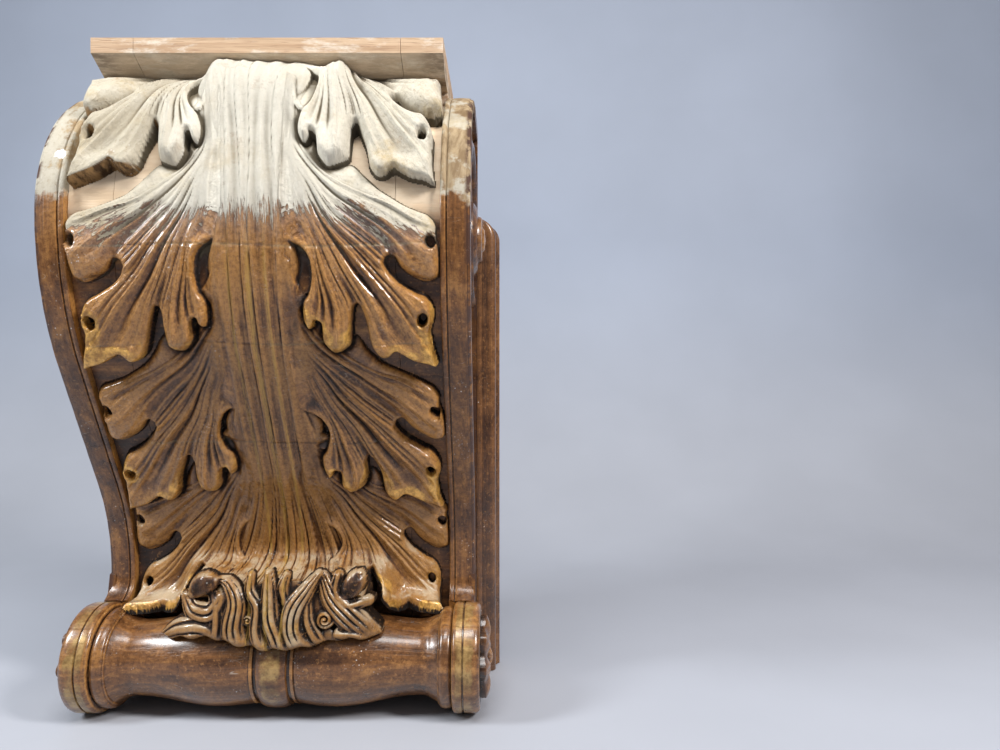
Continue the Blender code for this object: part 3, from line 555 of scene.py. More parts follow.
def lay_eyes():
    """The shallow floors of the eyes beside the stem, and a smooth strip of wood between eye and eye."""
    eye_floor = np.zeros(X.shape)
    from_centre = np.abs(stem_frame(X, S))
    for tip, scale in zip(TIER_TIPS, TIER_SCALES):
        ps = (S - tip) / scale
        pit = np.hypot((from_centre - 31.0) / 9.0, (ps + 68.0) / 20.0)
        shallow = 3.2 if tip == TIER_TIPS[0] else 0.8
        eye_floor = np.maximum(eye_floor, np.where(pit < 1, shallow + 5.5 * smoothstep(-80, -48, ps) ** 2, 0))
    lay(eye_floor, tipness=0.5 * smoothstep(2.0, 5.0, eye_floor), calm=1.0)
    between = 1 - smoothstep(0.0, 0.5, blur(1.0 * (eye_floor > 0), 4))
    beside = np.exp(-((from_centre - 22.5) / 5.0) ** 2) * between * smoothstep(300, 270, S)
    leaf_maps["rise"] += beside * (blur(leaf_maps["rise"], 7, axes=(1,)) - leaf_maps["rise"])


def lift_crown():
    """Fills the leaf out under the board, most of all over the stem and its two upper corners."""
    crown = 11.0 * smoothstep(74, 12, S)
    over_stem = smoothstep(-50, -32, X) * smoothstep(64, 46, X) * (1 + 0.06 * np.sin(X / 3.1))
    crown += 9.5 * smoothstep(50, 10, S) * over_stem
    crown += 3.0 * smoothstep(26, 8, S) * (np.exp(-((X + 27.0) / 7.0) ** 2) + np.exp(-((X - 48.0) / 6.0) ** 2))
    leaf_maps["rise"] += crown * smoothstep(0.6, 4.0, leaf_maps["rise"])


SEAMS, CURL_START, HALF_CURL = (125.5, 187.0, 262.0), 399.0, 74.0
lay_leaflets()
lay_stem()
leaf_maps["rise"] = np.where((S > CURL_START) & (np.abs(X) < HALF_CURL), 0.0, leaf_maps["rise"])
lay_eyes()
lift_crown()
for seam in SEAMS:
    line = np.exp(-((S - seam - 0.9 * np.sin(X / 23.0)) / 0.7) ** 2)
    leaf_maps["rise"] -= 0.35 * line * (leaf_maps["rise"] > 3)
    leaf_maps["seam"] = np.maximum(leaf_maps["seam"], line)
# How far a point lies below its blurred surroundings; the finish darkens it as painted shade and gathered varnish.
leaf_maps["hollow"] = 0.18 * (blur(leaf_maps["rise"], 7) - leaf_maps["rise"]) \
    + 0.75 * (blur(leaf_maps["rise"], 1.5) - leaf_maps["rise"])
print("leaf map", X.shape, "highest", round(float(leaf_maps["rise"].max()), 1))


# %% [markdown]
# ### From map to wood
# The map is wrapped on the scroll line. Below the foot the wood runs out over the roll, so the guide line
# bends forward there into the curl of the tip. Points are kept under the board, inside the cheeks and off the
# roll. The carving was made from glued blocks, and the leaf is parted near their joints.

# %% Wrap the leaf
BOARD_BEVEL, BOARD_UNDER, FOREMOST = ((31.4, 49.0), (448.0, 438.0)), 447.0, -9.5
CURL = spline([(340, 90.0, 122.0), (350, 89.0, 112.5), (360, 86.0, 104.2), (369, 79.5, 98.0), (378, 70.0, 94.6),
               (386, 59.5, 93.0), (393, 50.0, 91.0), (400, 43.5, 86.5), (407, 41.0, 79.0), (412, 40.0, 74.0)], 8)


def clear_of_neighbours(x, d, z):
    """Keeps the carving below the board, inside the cheeks, outside the roll and inside the CAD box."""
    x = np.clip(x, -HALF_FIELD, HALF_FIELD)
    z = np.minimum(z, np.where(d > BOARD_BEVEL[0][0], np.interp(d, *BOARD_BEVEL) - GLUE, BOARD_UNDER))
    away_d, away_z = d - ROLL_DEPTH, z - ROLL_HEIGHT
    reach = np.hypot(away_d, away_z)
    push = np.maximum(reach, roll_radius(x) + GLUE) / np.maximum(reach, 1e-6)
    return x, np.maximum(ROLL_DEPTH + away_d * push, FOREMOST), ROLL_HEIGHT + away_z * push


def wrap(x, s, rise):
    """Depth and height of a point of the leaf."""
    d, z = scroll(s, rise - RECESS)
    wavy = 3.0 * np.sin(x / 9.0 + 0.6) * smoothstep(338, 354, s) * smoothstep(392, 372, s)
    t = np.clip(s + wavy, CURL[0, 0], CURL[-1, 0])
    cd, cz = np.interp(t, CURL[:, 0], CURL[:, 1]), np.interp(t, CURL[:, 0], CURL[:, 2])
    heading = np.interp(t, [344, 358, 368, 376, 392, 412], [1.60, 1.30, 0.85, 0.45, 0.35, 1.5])
    cd, cz = cd - (rise - RECESS) * np.sin(heading), cz + (rise - RECESS) * np.cos(heading)
    share = smoothstep(338, 372, s) * smoothstep(84, 60, np.abs(x))
    return clear_of_neighbours(x, d + (cd - d) * share, z + (cz - z) * share)


def closed_sheet(name, live, top, bottom, values):
    """A closed piece from two grids of points, wherever the carving is live."""
    cell = live[:-1, :-1] | live[1:, :-1] | live[:-1, 1:] | live[1:, 1:]
    used = np.zeros(live.shape, bool)
    for di in (0, 1):
        for dj in (0, 1):
            used[di:used.shape[0] - 1 + di, dj:used.shape[1] - 1 + dj] |= cell
    number = np.cumsum(used).reshape(used.shape) - 1
    count = int(used.sum())
    i, j = np.nonzero(cell)
    quad = np.stack([number[i, j], number[i + 1, j], number[i + 1, j + 1], number[i, j + 1]], -1)
    faces = [quad, quad[:, ::-1] + count]
    for di, dj, a, b in ((-1, 0, (0, 1), (0, 0)), (1, 0, (1, 0), (1, 1)), (0, -1, (0, 0), (1, 0)),
                         (0, 1, (1, 1), (0, 1))):
        ni, nj = i + di, j + dj
        outside = (ni < 0) | (nj < 0) | (ni >= cell.shape[0]) | (nj >= cell.shape[1])
        inside = ~outside
        outside[inside] = ~cell[ni[inside], nj[inside]]
        p = number[i[outside] + a[0], j[outside] + a[1]]
        q = number[i[outside] + b[0], j[outside] + b[1]]
        faces.append(np.stack([p, q, q + count, p + count], -1))
    points = np.vstack([world(*(v[used] for v in top)), world(*(v[used] for v in bottom))])
    values = {key: np.tile(value[used], 2) for key, value in values.items()}
    return make_piece(name, points, np.vstack(faces), values, slot="leaf_finish", stands_for=["acanthus_leaf"],
                      sharp=math.radians(60.0))


def leaf_part(name, first, last):
    """The leaf between two lengths along the scroll line."""
    j0, j1 = np.searchsorted(GRID_S, first), min(np.searchsorted(GRID_S, last), len(GRID_S) - 1)
    part = (slice(None), slice(j0, j1 + 1))
    rise = leaf_maps["rise"][part]
    x, s = X[part], S[part]
    low_d, low_z = scroll(s, 0.06 - RECESS)
    values = {key: grid[part] for key, grid in leaf_maps.items()}
    values.update(arc=s, sideways=x)
    return closed_sheet(name, rise > 0.4, wrap(x, s, np.maximum(rise, 0.12)), clear_of_neighbours(x, low_d, low_z),
                        values)


JOINTS = [("leaf_crown", -17, 62), ("leaf_upper", 62, 124.8), ("leaf_middle", 124.8, 187), ("leaf_waist", 187, 262),
          ("leaf_lower", 262, 330), ("leaf_foot", 330, 412)]
leaf = [leaf_part(*row) for row in JOINTS]
print("leaf faces", [len(piece.data.polygons) for piece in leaf])

# %% [markdown]
# ### The curled tip
# The end of the leaf rolls over towards the front and hangs on the roll. Its face is a bundle of blades, hooks
# and little volutes, all cut with a few strokes each. It is kept as a height map too, this time over an upright
# face that leans out a little towards its foot. Each stroke has a path of x, height, half width and
# rise, and a number of grooves cut along it.

# %% Curled tip
TIP_CELL = 0.65
TIP_X, TIP_Z = np.meshgrid(np.arange(-79.0, 76.1, TIP_CELL), np.arange(47.0, 106.1, TIP_CELL), indexing="ij")
STROKES = [
    (0, [(-36, 56, 7, 3.0), (0, 55, 9, 4.0), (36, 58, 7, 3.0)]),
    (0, [(-26, 74, 15, 2.0), (10, 76, 17, 2.5), (30, 78, 12, 2.0)]),
    (3, [(-36, 98, 2, 4), (-29, 95, 4, 7.5), (-23.5, 84, 5.5, 9), (-25, 68, 6.5, 9.5), (-22, 55, 7, 8)]),
    (1, [(-43, 92, 2, 3), (-38, 84, 4, 6), (-36, 70, 4.5, 7), (-38, 58, 4, 5)]),
    (1, [(-14.5, 101, 2.2, 6), (-14.5, 91, 3, 7), (-8.5, 81, 3.6, 8), (-8.5, 66, 4, 8.5), (-5, 55, 4, 8)]),
    (2, [(-2, 103, 2.6, 7.5), (-1, 90, 4.4, 9), (0.5, 74, 5.2, 10), (5.5, 62, 5.2, 10), (8, 53, 5, 8)]),
    (1, [(9.5, 101, 2.2, 6), (7.5, 93, 3.2, 7), (10, 84, 2.6, 6)]),
    (3, [(31, 101.5, 2.4, 7), (24, 92, 4.4, 9), (16.5, 80, 6.2, 10.5), (15.5, 67, 6.4, 10.5), (21, 55, 6.5, 9)]),
    (1, [(24, 84, 2.6, 6), (25, 72, 3.4, 8), (30, 62, 3.8, 8), (34, 57, 3, 6)]),
    (4, [(33.5, 100, 3, 4), (40, 86, 6, 6.5), (51, 74, 7.5, 7.5), (65, 61, 6.5, 6)]),
    (1, [(48, 62, 5, 7), (58, 59, 7.5, 8.5), (69, 57, 4.5, 4)]),
    (2, [(-60, 85, 3, 3), (-53, 77, 5.5, 6.5), (-41, 76, 6, 7), (-34, 86, 4, 6)]),
    (2, [(-73, 58, 4, 4), (-62, 62, 7.5, 7.5), (-50, 64, 8, 8), (-42, 62, 6, 6)]),
    (0, [(-55, 88, 3, 4), (-50, 93, 5.5, 8), (-45, 96, 6, 9.5), (-39, 97, 3, 7)]),
    (0, [(50, 88, 3.5, 6), (53, 92, 5.5, 9), (56, 97, 5.5, 9.5), (58, 101, 3, 7)]),
    (1, [(44, 100, 3, 6), (43, 90, 3.4, 6), (50, 81, 3.6, 6.5), (64, 83, 3, 5)])]
VOLUTES = [(-14.5, 72.5, 4.2, 6.5), (36.5, 72.5, 6.4, 8.0)]
BULBS, BULB_RADII = ((-45.5, 94.0), (55.0, 96.0)), (12.5, 11.0)
LOWER_LIP = ((-79, -70, -41, -21, -1, 19, 45, 69, 76), (60, 58.5, 60, 56, 53, 54, 58.5, 58.5, 62))
TIP_BACK, BLADE_SPREAD = 62.0, 1.28
tip_map, tip_grooves = np.zeros(TIP_X.shape), np.zeros(TIP_X.shape)
for grooves, rows in STROKES:
    path = spline(rows, 14)
    best, offset, rise, near_end = (np.full(TIP_X.shape, v) for v in (9.0, 0.0, 0.0, 0.0))
    heading = np.arctan2(np.gradient(path[:, 1]), np.gradient(path[:, 0]))
    for k, (x, z, half, high) in enumerate(path):
        half = half * BLADE_SPREAD
        reach = np.hypot(TIP_X - x, TIP_Z - z) / half
        side = ((TIP_Z - z) * math.cos(heading[k]) - (TIP_X - x) * math.sin(heading[k])) / half
        closer = reach < best
        best, offset = np.where(closer, reach, best), np.where(closer, side, offset)
        rise, near_end = np.where(closer, high, rise), np.where(closer, k / len(path), near_end)
    flute = np.abs(np.sin(math.pi * (offset * 0.5 * (grooves + 1) + 0.5 * grooves))) if grooves else 1.0
    cut = (1 - flute) ** 2 * smoothstep(0.9, 0.7, best) * smoothstep(1.0, 0.72, near_end)
    lifted = rise * np.sqrt(np.clip(1 - best ** 2, 0, 1)) ** 0.7 - 1.9 * cut * smoothstep(3, 5, rise)
    tip_grooves = np.where(lifted > tip_map, cut, tip_grooves)
    tip_map = np.maximum(tip_map, lifted)
for x, z, radius, high in VOLUTES:
    away, turn = np.hypot(TIP_X - x, TIP_Z - z) / radius, np.arctan2(TIP_Z - z, TIP_X - x)
    coil = high * (0.78 + 0.22 * np.cos(2 * math.pi * (away * 2.1 - turn / (2 * math.pi))))
    tip_map = np.maximum(tip_map, coil * np.sqrt(np.clip(1.15 - away ** 2, 0, 1)))
over_lip = TIP_Z - np.interp(TIP_X, *LOWER_LIP) - 0.9 * np.sin(TIP_X / 2.6)
tip_map = tip_map * rounded(over_lip, 5.5)


def build_tip():
    lean = 42.5 - 8.0 * (100.0 - TIP_Z) / 48.0 + 9.0 * (np.abs(TIP_X) / 72.0) ** 2
    behind = (roll_radius(TIP_X) + GLUE) ** 2 - (TIP_Z - ROLL_HEIGHT) ** 2
    back = np.where(behind > 0, ROLL_DEPTH - np.sqrt(np.maximum(behind, 0)), TIP_BACK)
    back = np.minimum(back, TIP_BACK + (lean + 5.0 - TIP_BACK) * smoothstep(80, 92, TIP_Z))
    back = np.minimum(back, TIP_BACK)
    top = clear_of_neighbours(TIP_X, np.minimum(lean - tip_map + 3.0, back - 0.2), TIP_Z)
    bottom = clear_of_neighbours(TIP_X, back, TIP_Z)
    bulb = sum(np.exp(-(((TIP_X - x) / BULB_RADII[0]) ** 2 + ((TIP_Z - z) / BULB_RADII[1]) ** 2) ** 3)
               for x, z in BULBS)
    # Grooves and low places get a high hollow value, which the finish darkens as painted shade with gathered varnish.
    hollow = 0.7 * (blur(tip_map, 3) - tip_map) + 1.3 * tip_grooves - 0.15 + 1.1 * bulb * (tip_map > 4)
    even = np.ones(tip_map.shape)
    values = {"arc": 400.0 * even, "sideways": TIP_X, "rise": tip_map, "lane": TIP_X * 0.3, "along": TIP_Z,
              "tier": 5.0 * even, "hollow": hollow, "calm": 0.0 * even, "seam": 0.0 * even,
              "tipness": smoothstep(5, 10, tip_map) * 0.45 * (1 - bulb)}
    return closed_sheet("leaf_curled_tip", tip_map > 1.2, top, bottom, values)


leaf.append(build_tip())
print("tip faces", len(leaf[-1].data.polygons))

# %% [markdown]
# ## The cheeks
# Each cheek is a scroll-cut board. Its front edge has a small bead beside the field and a rounded outer
# corner, so the edge is lofted along the scroll line with that section. The outer face is a sunk panel
# inside a flat rim, where a coil winds in to the scroll's eye.

# %% Cheek boards
PANEL_SINK, RIM, PANEL_BACK, MOULDING_TOP = 3.6, 10.0, 128.6, 361.0
EYE_DEPTH = PANEL_BACK - 27.0 - 1.6
INNER_X, OUTER_X = HALF_CORE + GLUE, HALF_CORE + CHEEK
PANEL_X, BOARD_TOP = OUTER_X - PANEL_SINK, TOP_CENTRE + TOP_RADIUS
FLARE = 20.5
FOOT_DEPTH = (BULGE_RADIUS + FOOT_RADIUS) * (1 - math.cos(SWEEP)) + SHANK * math.sin(SWEEP)
COIL_START, COIL_TURNS, COIL_OUTER, COIL_INNER = math.radians(-35.0), 1.2, 84.0, 35.0
MOULDED = {"arc": 200.0, "hollow": 0.0, "gilt": 0.0}


def edge_section():
    """Section of the cheek's front edge: x and height over the scroll line."""
    rows = [(INNER_X, -RIM), (INNER_X, -1.2)]
    rows += [(INNER_X + 1.7 - 1.7 * math.cos(a), -1.0 + 1.0 * math.sin(a)) for a in np.linspace(0.2, 2.6, 7)]
    rows += [(INNER_X + 3.6, -1.3), (INNER_X + 4.1, -1.3), (INNER_X + 4.5, -0.45), (INNER_X + 5.2, -0.25)]
    rows += [(x, -0.25 + 0.2 * math.sin((x - INNER_X - 5) / 9.0 * math.pi))
             for x in np.linspace(INNER_X + 7, OUTER_X - 3.2, 5)]
    rows += [(OUTER_X - 2.4, -0.5), (OUTER_X - 2.2, -1.1), (OUTER_X - 1.6, -1.2)]
    rows += [(OUTER_X - 1.6 + 1.6 * math.sin(a), -2.8 + 1.6 * math.cos(a)) for a in np.linspace(0.1, math.pi / 2, 5)]
    rows += [(OUTER_X, -RIM + 1.2), (OUTER_X - 0.6, -RIM + 0.3), (PANEL_X, -RIM)]
    return np.array(rows)


def plate(shells, outline, x_low, x_high, side):
    """An outline of depth and height points made solid between two x positions."""
    d, z = np.array(outline).T
    points = np.vstack([world(side * x_low, d, z), world(side * x_high, d, z)])
    count = len(d)
    faces = [list(range(count)), list(range(2 * count - 1, count - 1, -1))]
    faces += [[k, k + count, (k + 1) % count + count, (k + 1) % count] for k in range(count)]
    shells.add(points, faces, **MOULDED)


def disc_cut(first_depth):
    """The lower front of a cheek, cut round the roll's disc."""
    reach = DISC_RADIUS + GLUE
    first = math.acos((first_depth - ROLL_DEPTH) / reach)
    rows = [(ROLL_DEPTH + reach * math.cos(a), ROLL_HEIGHT + reach * math.sin(a)) for a in np.linspace(first, 0, 20)]
    return rows + [(ROLL_DEPTH + reach, 0.5)]


def build_cheek(name, side):
    shells = Shells()
    section = edge_section()
    stations = 420
    arcs = np.linspace(-START_ARC, FOOT_ARC + FLARE, stations)
    a = np.repeat(arcs[:, None], len(section), 1)
    wear = 0.12 * np.sin(a * 0.31) * np.sin(a * 0.083 + 1.0)
    d, z = scroll(a, section[None, :, 1] + wear * (section[None, :, 1] > -4))
    x = side * np.repeat(section[None, :, 0], stations, 0)
    # The section's bend gives the hollow value: grooves darken as painted shade with gathered varnish, beads lighten.
    edge = np.zeros(len(section))
    edge[1:-1] = (section[1:-1, 1] - 0.5 * (section[:-2, 1] + section[2:, 1])) * 0.8
    shells.add(world(x, d, z), ring_faces(stations, len(section)), arc=a.ravel(),
               hollow=np.tile(-edge, stations), gilt=0.0)
    inset = list(zip(*scroll(np.linspace(-START_ARC, FOOT_ARC, 161), -2.0)))
    low = disc_cut(FOOT_DEPTH - 4.0)
    plate(shells, [(DEPTH, 0.5), (DEPTH, BOARD_TOP)] + inset + low, INNER_X + 0.5, PANEL_X, side)
    rim_back = [(PANEL_BACK, 92.0), (PANEL_BACK, MOULDING_TOP + 6.0), (DEPTH - RIM, MOULDING_TOP + 6.0),
                (DEPTH - RIM, BOARD_TOP - RIM), (TOP_RADIUS, BOARD_TOP - RIM), (TOP_RADIUS, BOARD_TOP),
                (DEPTH, BOARD_TOP), (DEPTH, 0.5)]
    plate(shells, rim_back + low[::-1] + [(FOOT_DEPTH, FOOT_END), (FOOT_DEPTH + RIM, 92.0)], PANEL_X - 1.0, OUTER_X,
          side)
    add_coil(shells, side)
    return shells.build(name, slot="varnished_wood", stands_for=[name.replace("_board", "")])


def add_coil(shells, side):
    """The raised coil that winds in over the sunk panel, to the eye."""
    steps = 260
    share = np.linspace(0, 1, steps)[:, None]
    angle = COIL_START + COIL_TURNS * 2 * math.pi * share
    radius = COIL_OUTER + (COIL_INNER - COIL_OUTER) * share ** 0.8
    half = 4.0 * (1 - 0.45 * share)
    across, up = np.array([(-1.0, -1.0), (-1.0, 1.2), (-0.8, 2.1), (-0.45, 2.3), (-0.35, 2.9), (0.0, 3.3), (0.35, 2.9),
                           (0.45, 2.3), (0.8, 2.1), (1.0, 1.2), (1.0, -1.0)]).T
    r = radius + half * across
    d = np.minimum(EYE_DEPTH - r * np.cos(angle), DEPTH - 2.0)
    shells.add(world(side * (PANEL_X + up), d, TOP_CENTRE + r * np.sin(angle)), ring_faces(steps, len(up)), **MOULDED)


cheeks = [build_cheek("cheek_left_board", -1), build_cheek("cheek_right_board", 1)]
print("cheeks", [len(piece.data.polygons) for piece in cheeks])

# %% [markdown]
# ## Bosses and mouldings
# The rosettes on the roll's ends and the stepped eyes of the scrolls are round reliefs, so one helper makes
# both: rings and spokes whose height follows a rule. The moulded strips at the wall are a plan section, a
# torus between fillets, carried straight up and rounded over at the top.

# %% Rosettes and eyes
def round_relief(name, side, base_x, centre, radius, height_at, rings, spokes, node, slot):
    share = np.linspace(0, 1, rings + 1)[1:]
    angle = np.arange(spokes) * 2 * math.pi / spokes
    s, a = np.meshgrid(share, angle, indexing="ij")
    height, reach = height_at(s, a)
    d = centre[0] + radius * reach * np.cos(a)
    z = centre[1] + radius * reach * np.sin(a)
    middle = height_at(np.array([[0.0]]), np.array([[0.0]]))[0].ravel()
    points = np.vstack([world(side * (base_x + middle), centre[0], centre[1]),
                        world(side * (base_x + height), d, z), world(side * base_x, d[-1], z[-1])])
    faces = [[0, 1 + k, 1 + (k + 1) % spokes] for k in range(spokes)]
    faces += ring_faces(rings + 1, spokes, 1, closed_ends=False)
    faces.append([1 + rings * spokes + k for k in range(spokes)])
    lumps = np.concatenate([middle, height.ravel(), np.zeros(spokes)])
    # Lower parts of the relief get a higher hollow value and come out darker: painted shade, with gathered varnish.
    hollow = np.clip(0.6 - lumps / max(lumps) * 1.1, -1, 1)
    values = {"hollow": hollow, "gilt": np.full(len(points), 0.7 if slot == "gilt_wood" else 0.15),
              "arc": np.full(len(points), 200.0)}
    return make_piece(name, points, faces, values, slot=slot, stands_for=[node])


def petal_height(s, a):
    petal = 0.5 + 0.5 * np.cos(8 * a)
    out = np.clip((s - 0.24) / 0.76, 0, 1)
    vein = 0.10 * np.exp(-((1 - petal) / 0.05) ** 2) * np.sin(math.pi * out)
    leaf_part = 0.34 + 0.22 * np.sin(math.pi * out) + 0.28 * petal * np.sin(math.pi * out * 0.8) - vein
    button = 0.72 + 0.28 * np.cos(0.5 * math.pi * np.clip(s / 0.24, 0, 1)) - 0.05 * (np.cos(9 * a) > 0.4) * (s > 0.08)
    reach = s * (1 - 0.16 * s ** 3 * (1 - petal))
    return 8.5 * np.where(s < 0.24, button, leaf_part), reach


def eye_height(s, a):
    levels = np.interp(s, [0, 0.26, 0.31, 0.33, 0.37, 0.55, 0.62, 0.64, 0.69, 0.83, 0.88, 1.0],
                       [1.0, 0.93, 0.86, 0.76, 0.74, 0.76, 0.72, 0.5, 0.46, 0.46, 0.40, 0.22])
    return 11.0 * levels, s


bosses = []
for side, word in ((-1, "left"), (1, "right")):
    bosses.append(round_relief("rosette_" + word + "_flower", side, ROLL_END + GLUE, (ROLL_DEPTH, ROLL_HEIGHT), 29.0,
                               petal_height, 40, 160, "rosette_" + word, "gilt_wood"))
    bosses.append(round_relief("volute_eye_" + word + "_boss", side, PANEL_X + GLUE, (EYE_DEPTH, TOP_CENTRE), 27.0,
                               eye_height, 60, 96, "volute_eye_" + word, "varnished_wood"))
print("bosses", [piece.name for piece in bosses])


# %% [markdown]
# ### Moulded strips
# A planed strip covers each wall edge, from the floor of the corbel up past the scroll's eye. A spindle plane
# cuts the section on the real object. The same section is lofted upwards here, and shrinks along a quarter
# circle at its top, as if it had been carved round.

# %% Back mouldings
STRIP_SPRING, STRIP_ROUND = 345.0, 16.0


def build_moulding(side, word):
    front, step = DEPTH - 30.0, DEPTH - 8.0
    section = [(0.0, DEPTH), (17.2, DEPTH), (17.7, DEPTH - 0.6), (17.7, step + 0.5), (17.2, step), (16.4, step - 0.6)]
    section += [(15.3 + 1.4 * (1 - math.sin(a)), step - 3.0 + 2.0 * math.cos(a) * 0.5) for a in (0.4, 0.9, 1.4)]
    section += [(9.56 + 5.2 * math.sin(a), step - 11.5 + 5.2 * math.cos(a)) for a in np.linspace(0.1, 3.04, 18)]
    section += [(7.4, front + 5.0), (7.2, front + 2.9), (4.6, front + 2.5), (4.0, front + 1.6), (3.2, front + 0.2),
                (2.8, front), (0.0, front)]
    section = np.array(section)
    levels = [(z, 1.0) for z in (0.5, 60, 120, 200, 280, STRIP_SPRING)]
    levels += [(STRIP_SPRING + STRIP_ROUND * math.sin(t), math.cos(t)) for t in np.linspace(0.1, 1.45, 12)]
    height, share = np.array(levels).T
    x = side * (OUTER_X + GLUE + section[None, :, 0] * share[:, None])
    d = np.repeat(section[None, :, 1], len(levels), 0)
    z = np.repeat(height[:, None], len(section), 1)
    count = x.size
    return make_piece("back_moulding_" + word + "_strip", world(x, d, z), ring_faces(len(levels), len(section)),
                      {key: np.full(count, value) for key, value in MOULDED.items()},
                      stands_for=["back_moulding_" + word])


mouldings = [build_moulding(-1, "left"), build_moulding(1, "right")]
print("mouldings", [piece.name for piece in mouldings])

# %% [markdown]
# ## Shader groups
# Several finishes share the same effects: streaks that run with the grain, scratches, and patches left by a
# brush or by wear. Each is built once as a node group with named sockets, and gets its own values in each
# material. The Principled shader itself stays in the material.

# %% Node helpers
class Wire:
    """A value in a node tree. Whatever is worked out from it is a new node, and a new value."""

    def __init__(self, t, socket):
        self.t, self.socket = t, socket

    def __add__(self, other):
        return self.t.maths("ADD", self, other)

    def __sub__(self, other):
        return self.t.maths("SUBTRACT", self, other)

    def __rsub__(self, other):
        return self.t.maths("SUBTRACT", other, self)

    def __mul__(self, other):
        return self.t.maths("MULTIPLY", self, other)

    __radd__, __rmul__ = __add__, __mul__

    def __abs__(self):
        return self.t.maths("ABSOLUTE", self)

    def larger(self, other):
        return self.t.maths("MAXIMUM", self, other)

    def fit(self, low, high, to_low=0.0, to_high=1.0):
        """The range from low to high made into another range, with eased ends."""
        return self.t.wire("ShaderNodeMapRange", {0: self, 1: low, 2: high, 3: to_low, 4: to_high},
                           interpolation_type="SMOOTHSTEP")

    def coat(self, mask, color, mode="MIX"):
        """This colour with another over it, where the mask is 1."""
        return self.t.blend(mask, self, color, mode)

    def axis(self, letter):
        return self.t.wire("ShaderNodeSeparateXYZ", {0: self}, letter)

    def stretched(self, size, turn=(0.0, 0.0, 0.0)):
        return self.t.wire("ShaderNodeMapping", {"Vector": self, "Rotation": turn, "Scale": size})

    def noise(self, scale, detail=4.0, roughness=0.55):
        """Cloudy noise over this vector."""
        return self.t.wire("ShaderNodeTexNoise", {"Vector": self, "Scale": scale, "Detail": detail,
                                                  "Roughness": roughness}, "Fac")


class Tree:
    """Short words for adding and joining shader nodes."""

    def __init__(self, tree):
        self.tree = tree

    def node(self, kind, inputs=None, **settings):
        made = self.tree.nodes.new(kind)
        for key, value in settings.items():
            setattr(made, key, value)
        for key, value in (inputs or {}).items():
            self.put(value, made.inputs[key])
        return made

    def wire(self, kind, inputs=None, output=0, **settings):
        """One output of a new node."""
        return Wire(self, self.node(kind, inputs, **settings).outputs[output])

    def wires(self, node):
        """All of a node's outputs, by name."""
        return {socket.name: Wire(self, socket) for socket in node.outputs}

    def put(self, value, socket):
        """Joins a value to a socket, or sets a constant on it."""
        if isinstance(value, Wire):
            self.tree.links.new(value.socket, socket)
        else:
            socket.default_value = (*value, 1.0) if socket.type == "RGBA" else value

    def maths(self, operation, a, b=0.0):
        return self.wire("ShaderNodeMath", {0: a, 1: b}, operation=operation)

    def blend(self, share, a, b, mode="MIX"):
        return self.wire("ShaderNodeMix", {0: share, 6: a, 7: b}, 2, data_type="RGBA", blend_type=mode)

    def vector(self, x, y, z):
        return self.wire("ShaderNodeCombineXYZ", {"X": x, "Y": y, "Z": z})

    def value(self, name):
        """A value that the mesh carries at its points."""
        return self.wire("ShaderNodeAttribute", None, "Fac", attribute_name=name)

    def group(self, shared, **values):
        """A shared effect's outputs, with its own values here."""
        return self.wires(self.node("ShaderNodeGroup", values, node_tree=shared))


def new_group(name, inputs, outputs):
    tree = bpy.data.node_groups.new(name, "ShaderNodeTree")
    for label, kind, default in inputs:
        socket = tree.interface.new_socket(label, in_out="INPUT", socket_type=kind)
        if default is not None:
            socket.default_value = default
    for label, kind in outputs:
        tree.interface.new_socket(label, in_out="OUTPUT", socket_type=kind)
    t = Tree(tree)
    return t, t.wires(t.node("NodeGroupInput")), t.node("NodeGroupOutput").inputs


FLOAT, VECTOR, COLOR = "NodeSocketFloat", "NodeSocketVector", "NodeSocketColor"
PLACE = ("Vector", VECTOR, None)

# %% [markdown]
# ### Grain
# Pine grain is long dark lines of late wood in a pale ground, with short pores between. A noise stretched
# many times along the grain gives both, and a slow wave bends the lines. A scan of real pine would show one
# board's knots on every board, and this never repeats.

# %% Grain group
t, g_in, g_out = new_group("grain", [PLACE], [("Lines", FLOAT), ("Pores", FLOAT)])
bend = g_in["Vector"].stretched((3.0, 3.0, 3.0)).noise(1.0, 2.0) * 0.02
bent = t.wire("ShaderNodeVectorMath", {0: g_in["Vector"], 1: t.vector(0.0, bend, bend)}, operation="ADD")
lines = bent.stretched((5.0, 190.0, 190.0)).noise(1.0, 5.0, 0.6)
pores = g_in["Vector"].stretched((60.0, 1500.0, 1500.0)).noise(1.0, 2.0, 0.6)
t.put(lines.fit(0.35, 0.68), g_out["Lines"])
t.put(pores.fit(0.52, 0.70), g_out["Pores"])
GRAIN = t.tree

# %% [markdown]
# ### Scratches and specks
# Fine pale scratches cross the varnish in all directions, and white specks of plaster dust sit on it. Thin
# lines come from the narrow band where a noise crosses its middle, in three directions, and specks from the
# cells of a Voronoi texture.

# %% Marks group
t, g_in, g_out = new_group("marks", [PLACE, ("Amount", FLOAT, 0.5)], [("Scratches", FLOAT), ("Specks", FLOAT)])
masks = []
for turn, scale in ((0.4, 30.0), (1.7, 42.0), (2.6, 24.0)):
    turned = g_in["Vector"].stretched((1.0, 6.0, 6.0), (turn, turn * 0.7, turn * 1.3))
    thin = abs(turned.noise(scale, 1.0, 0.4) - 0.5).fit(0.0, 0.0035, 1.0, 0.0)
    masks.append(thin * g_in["Vector"].noise(scale * 1.7, 2.0).fit(0.60, 0.68))
scratches = masks[0].larger(masks[1].larger(masks[2]))
cells = t.wire("ShaderNodeTexVoronoi", {"Vector": g_in["Vector"], "Scale": 380.0}, "Distance")
specks = cells.fit(0.10, 0.24, 1.0, 0.0) * g_in["Vector"].noise(30.0, 5.0, 0.7).fit(0.55, 0.75)
t.put(scratches * g_in["Amount"], g_out["Scratches"])
t.put(specks * g_in["Amount"], g_out["Specks"])
MARKS = t.tree
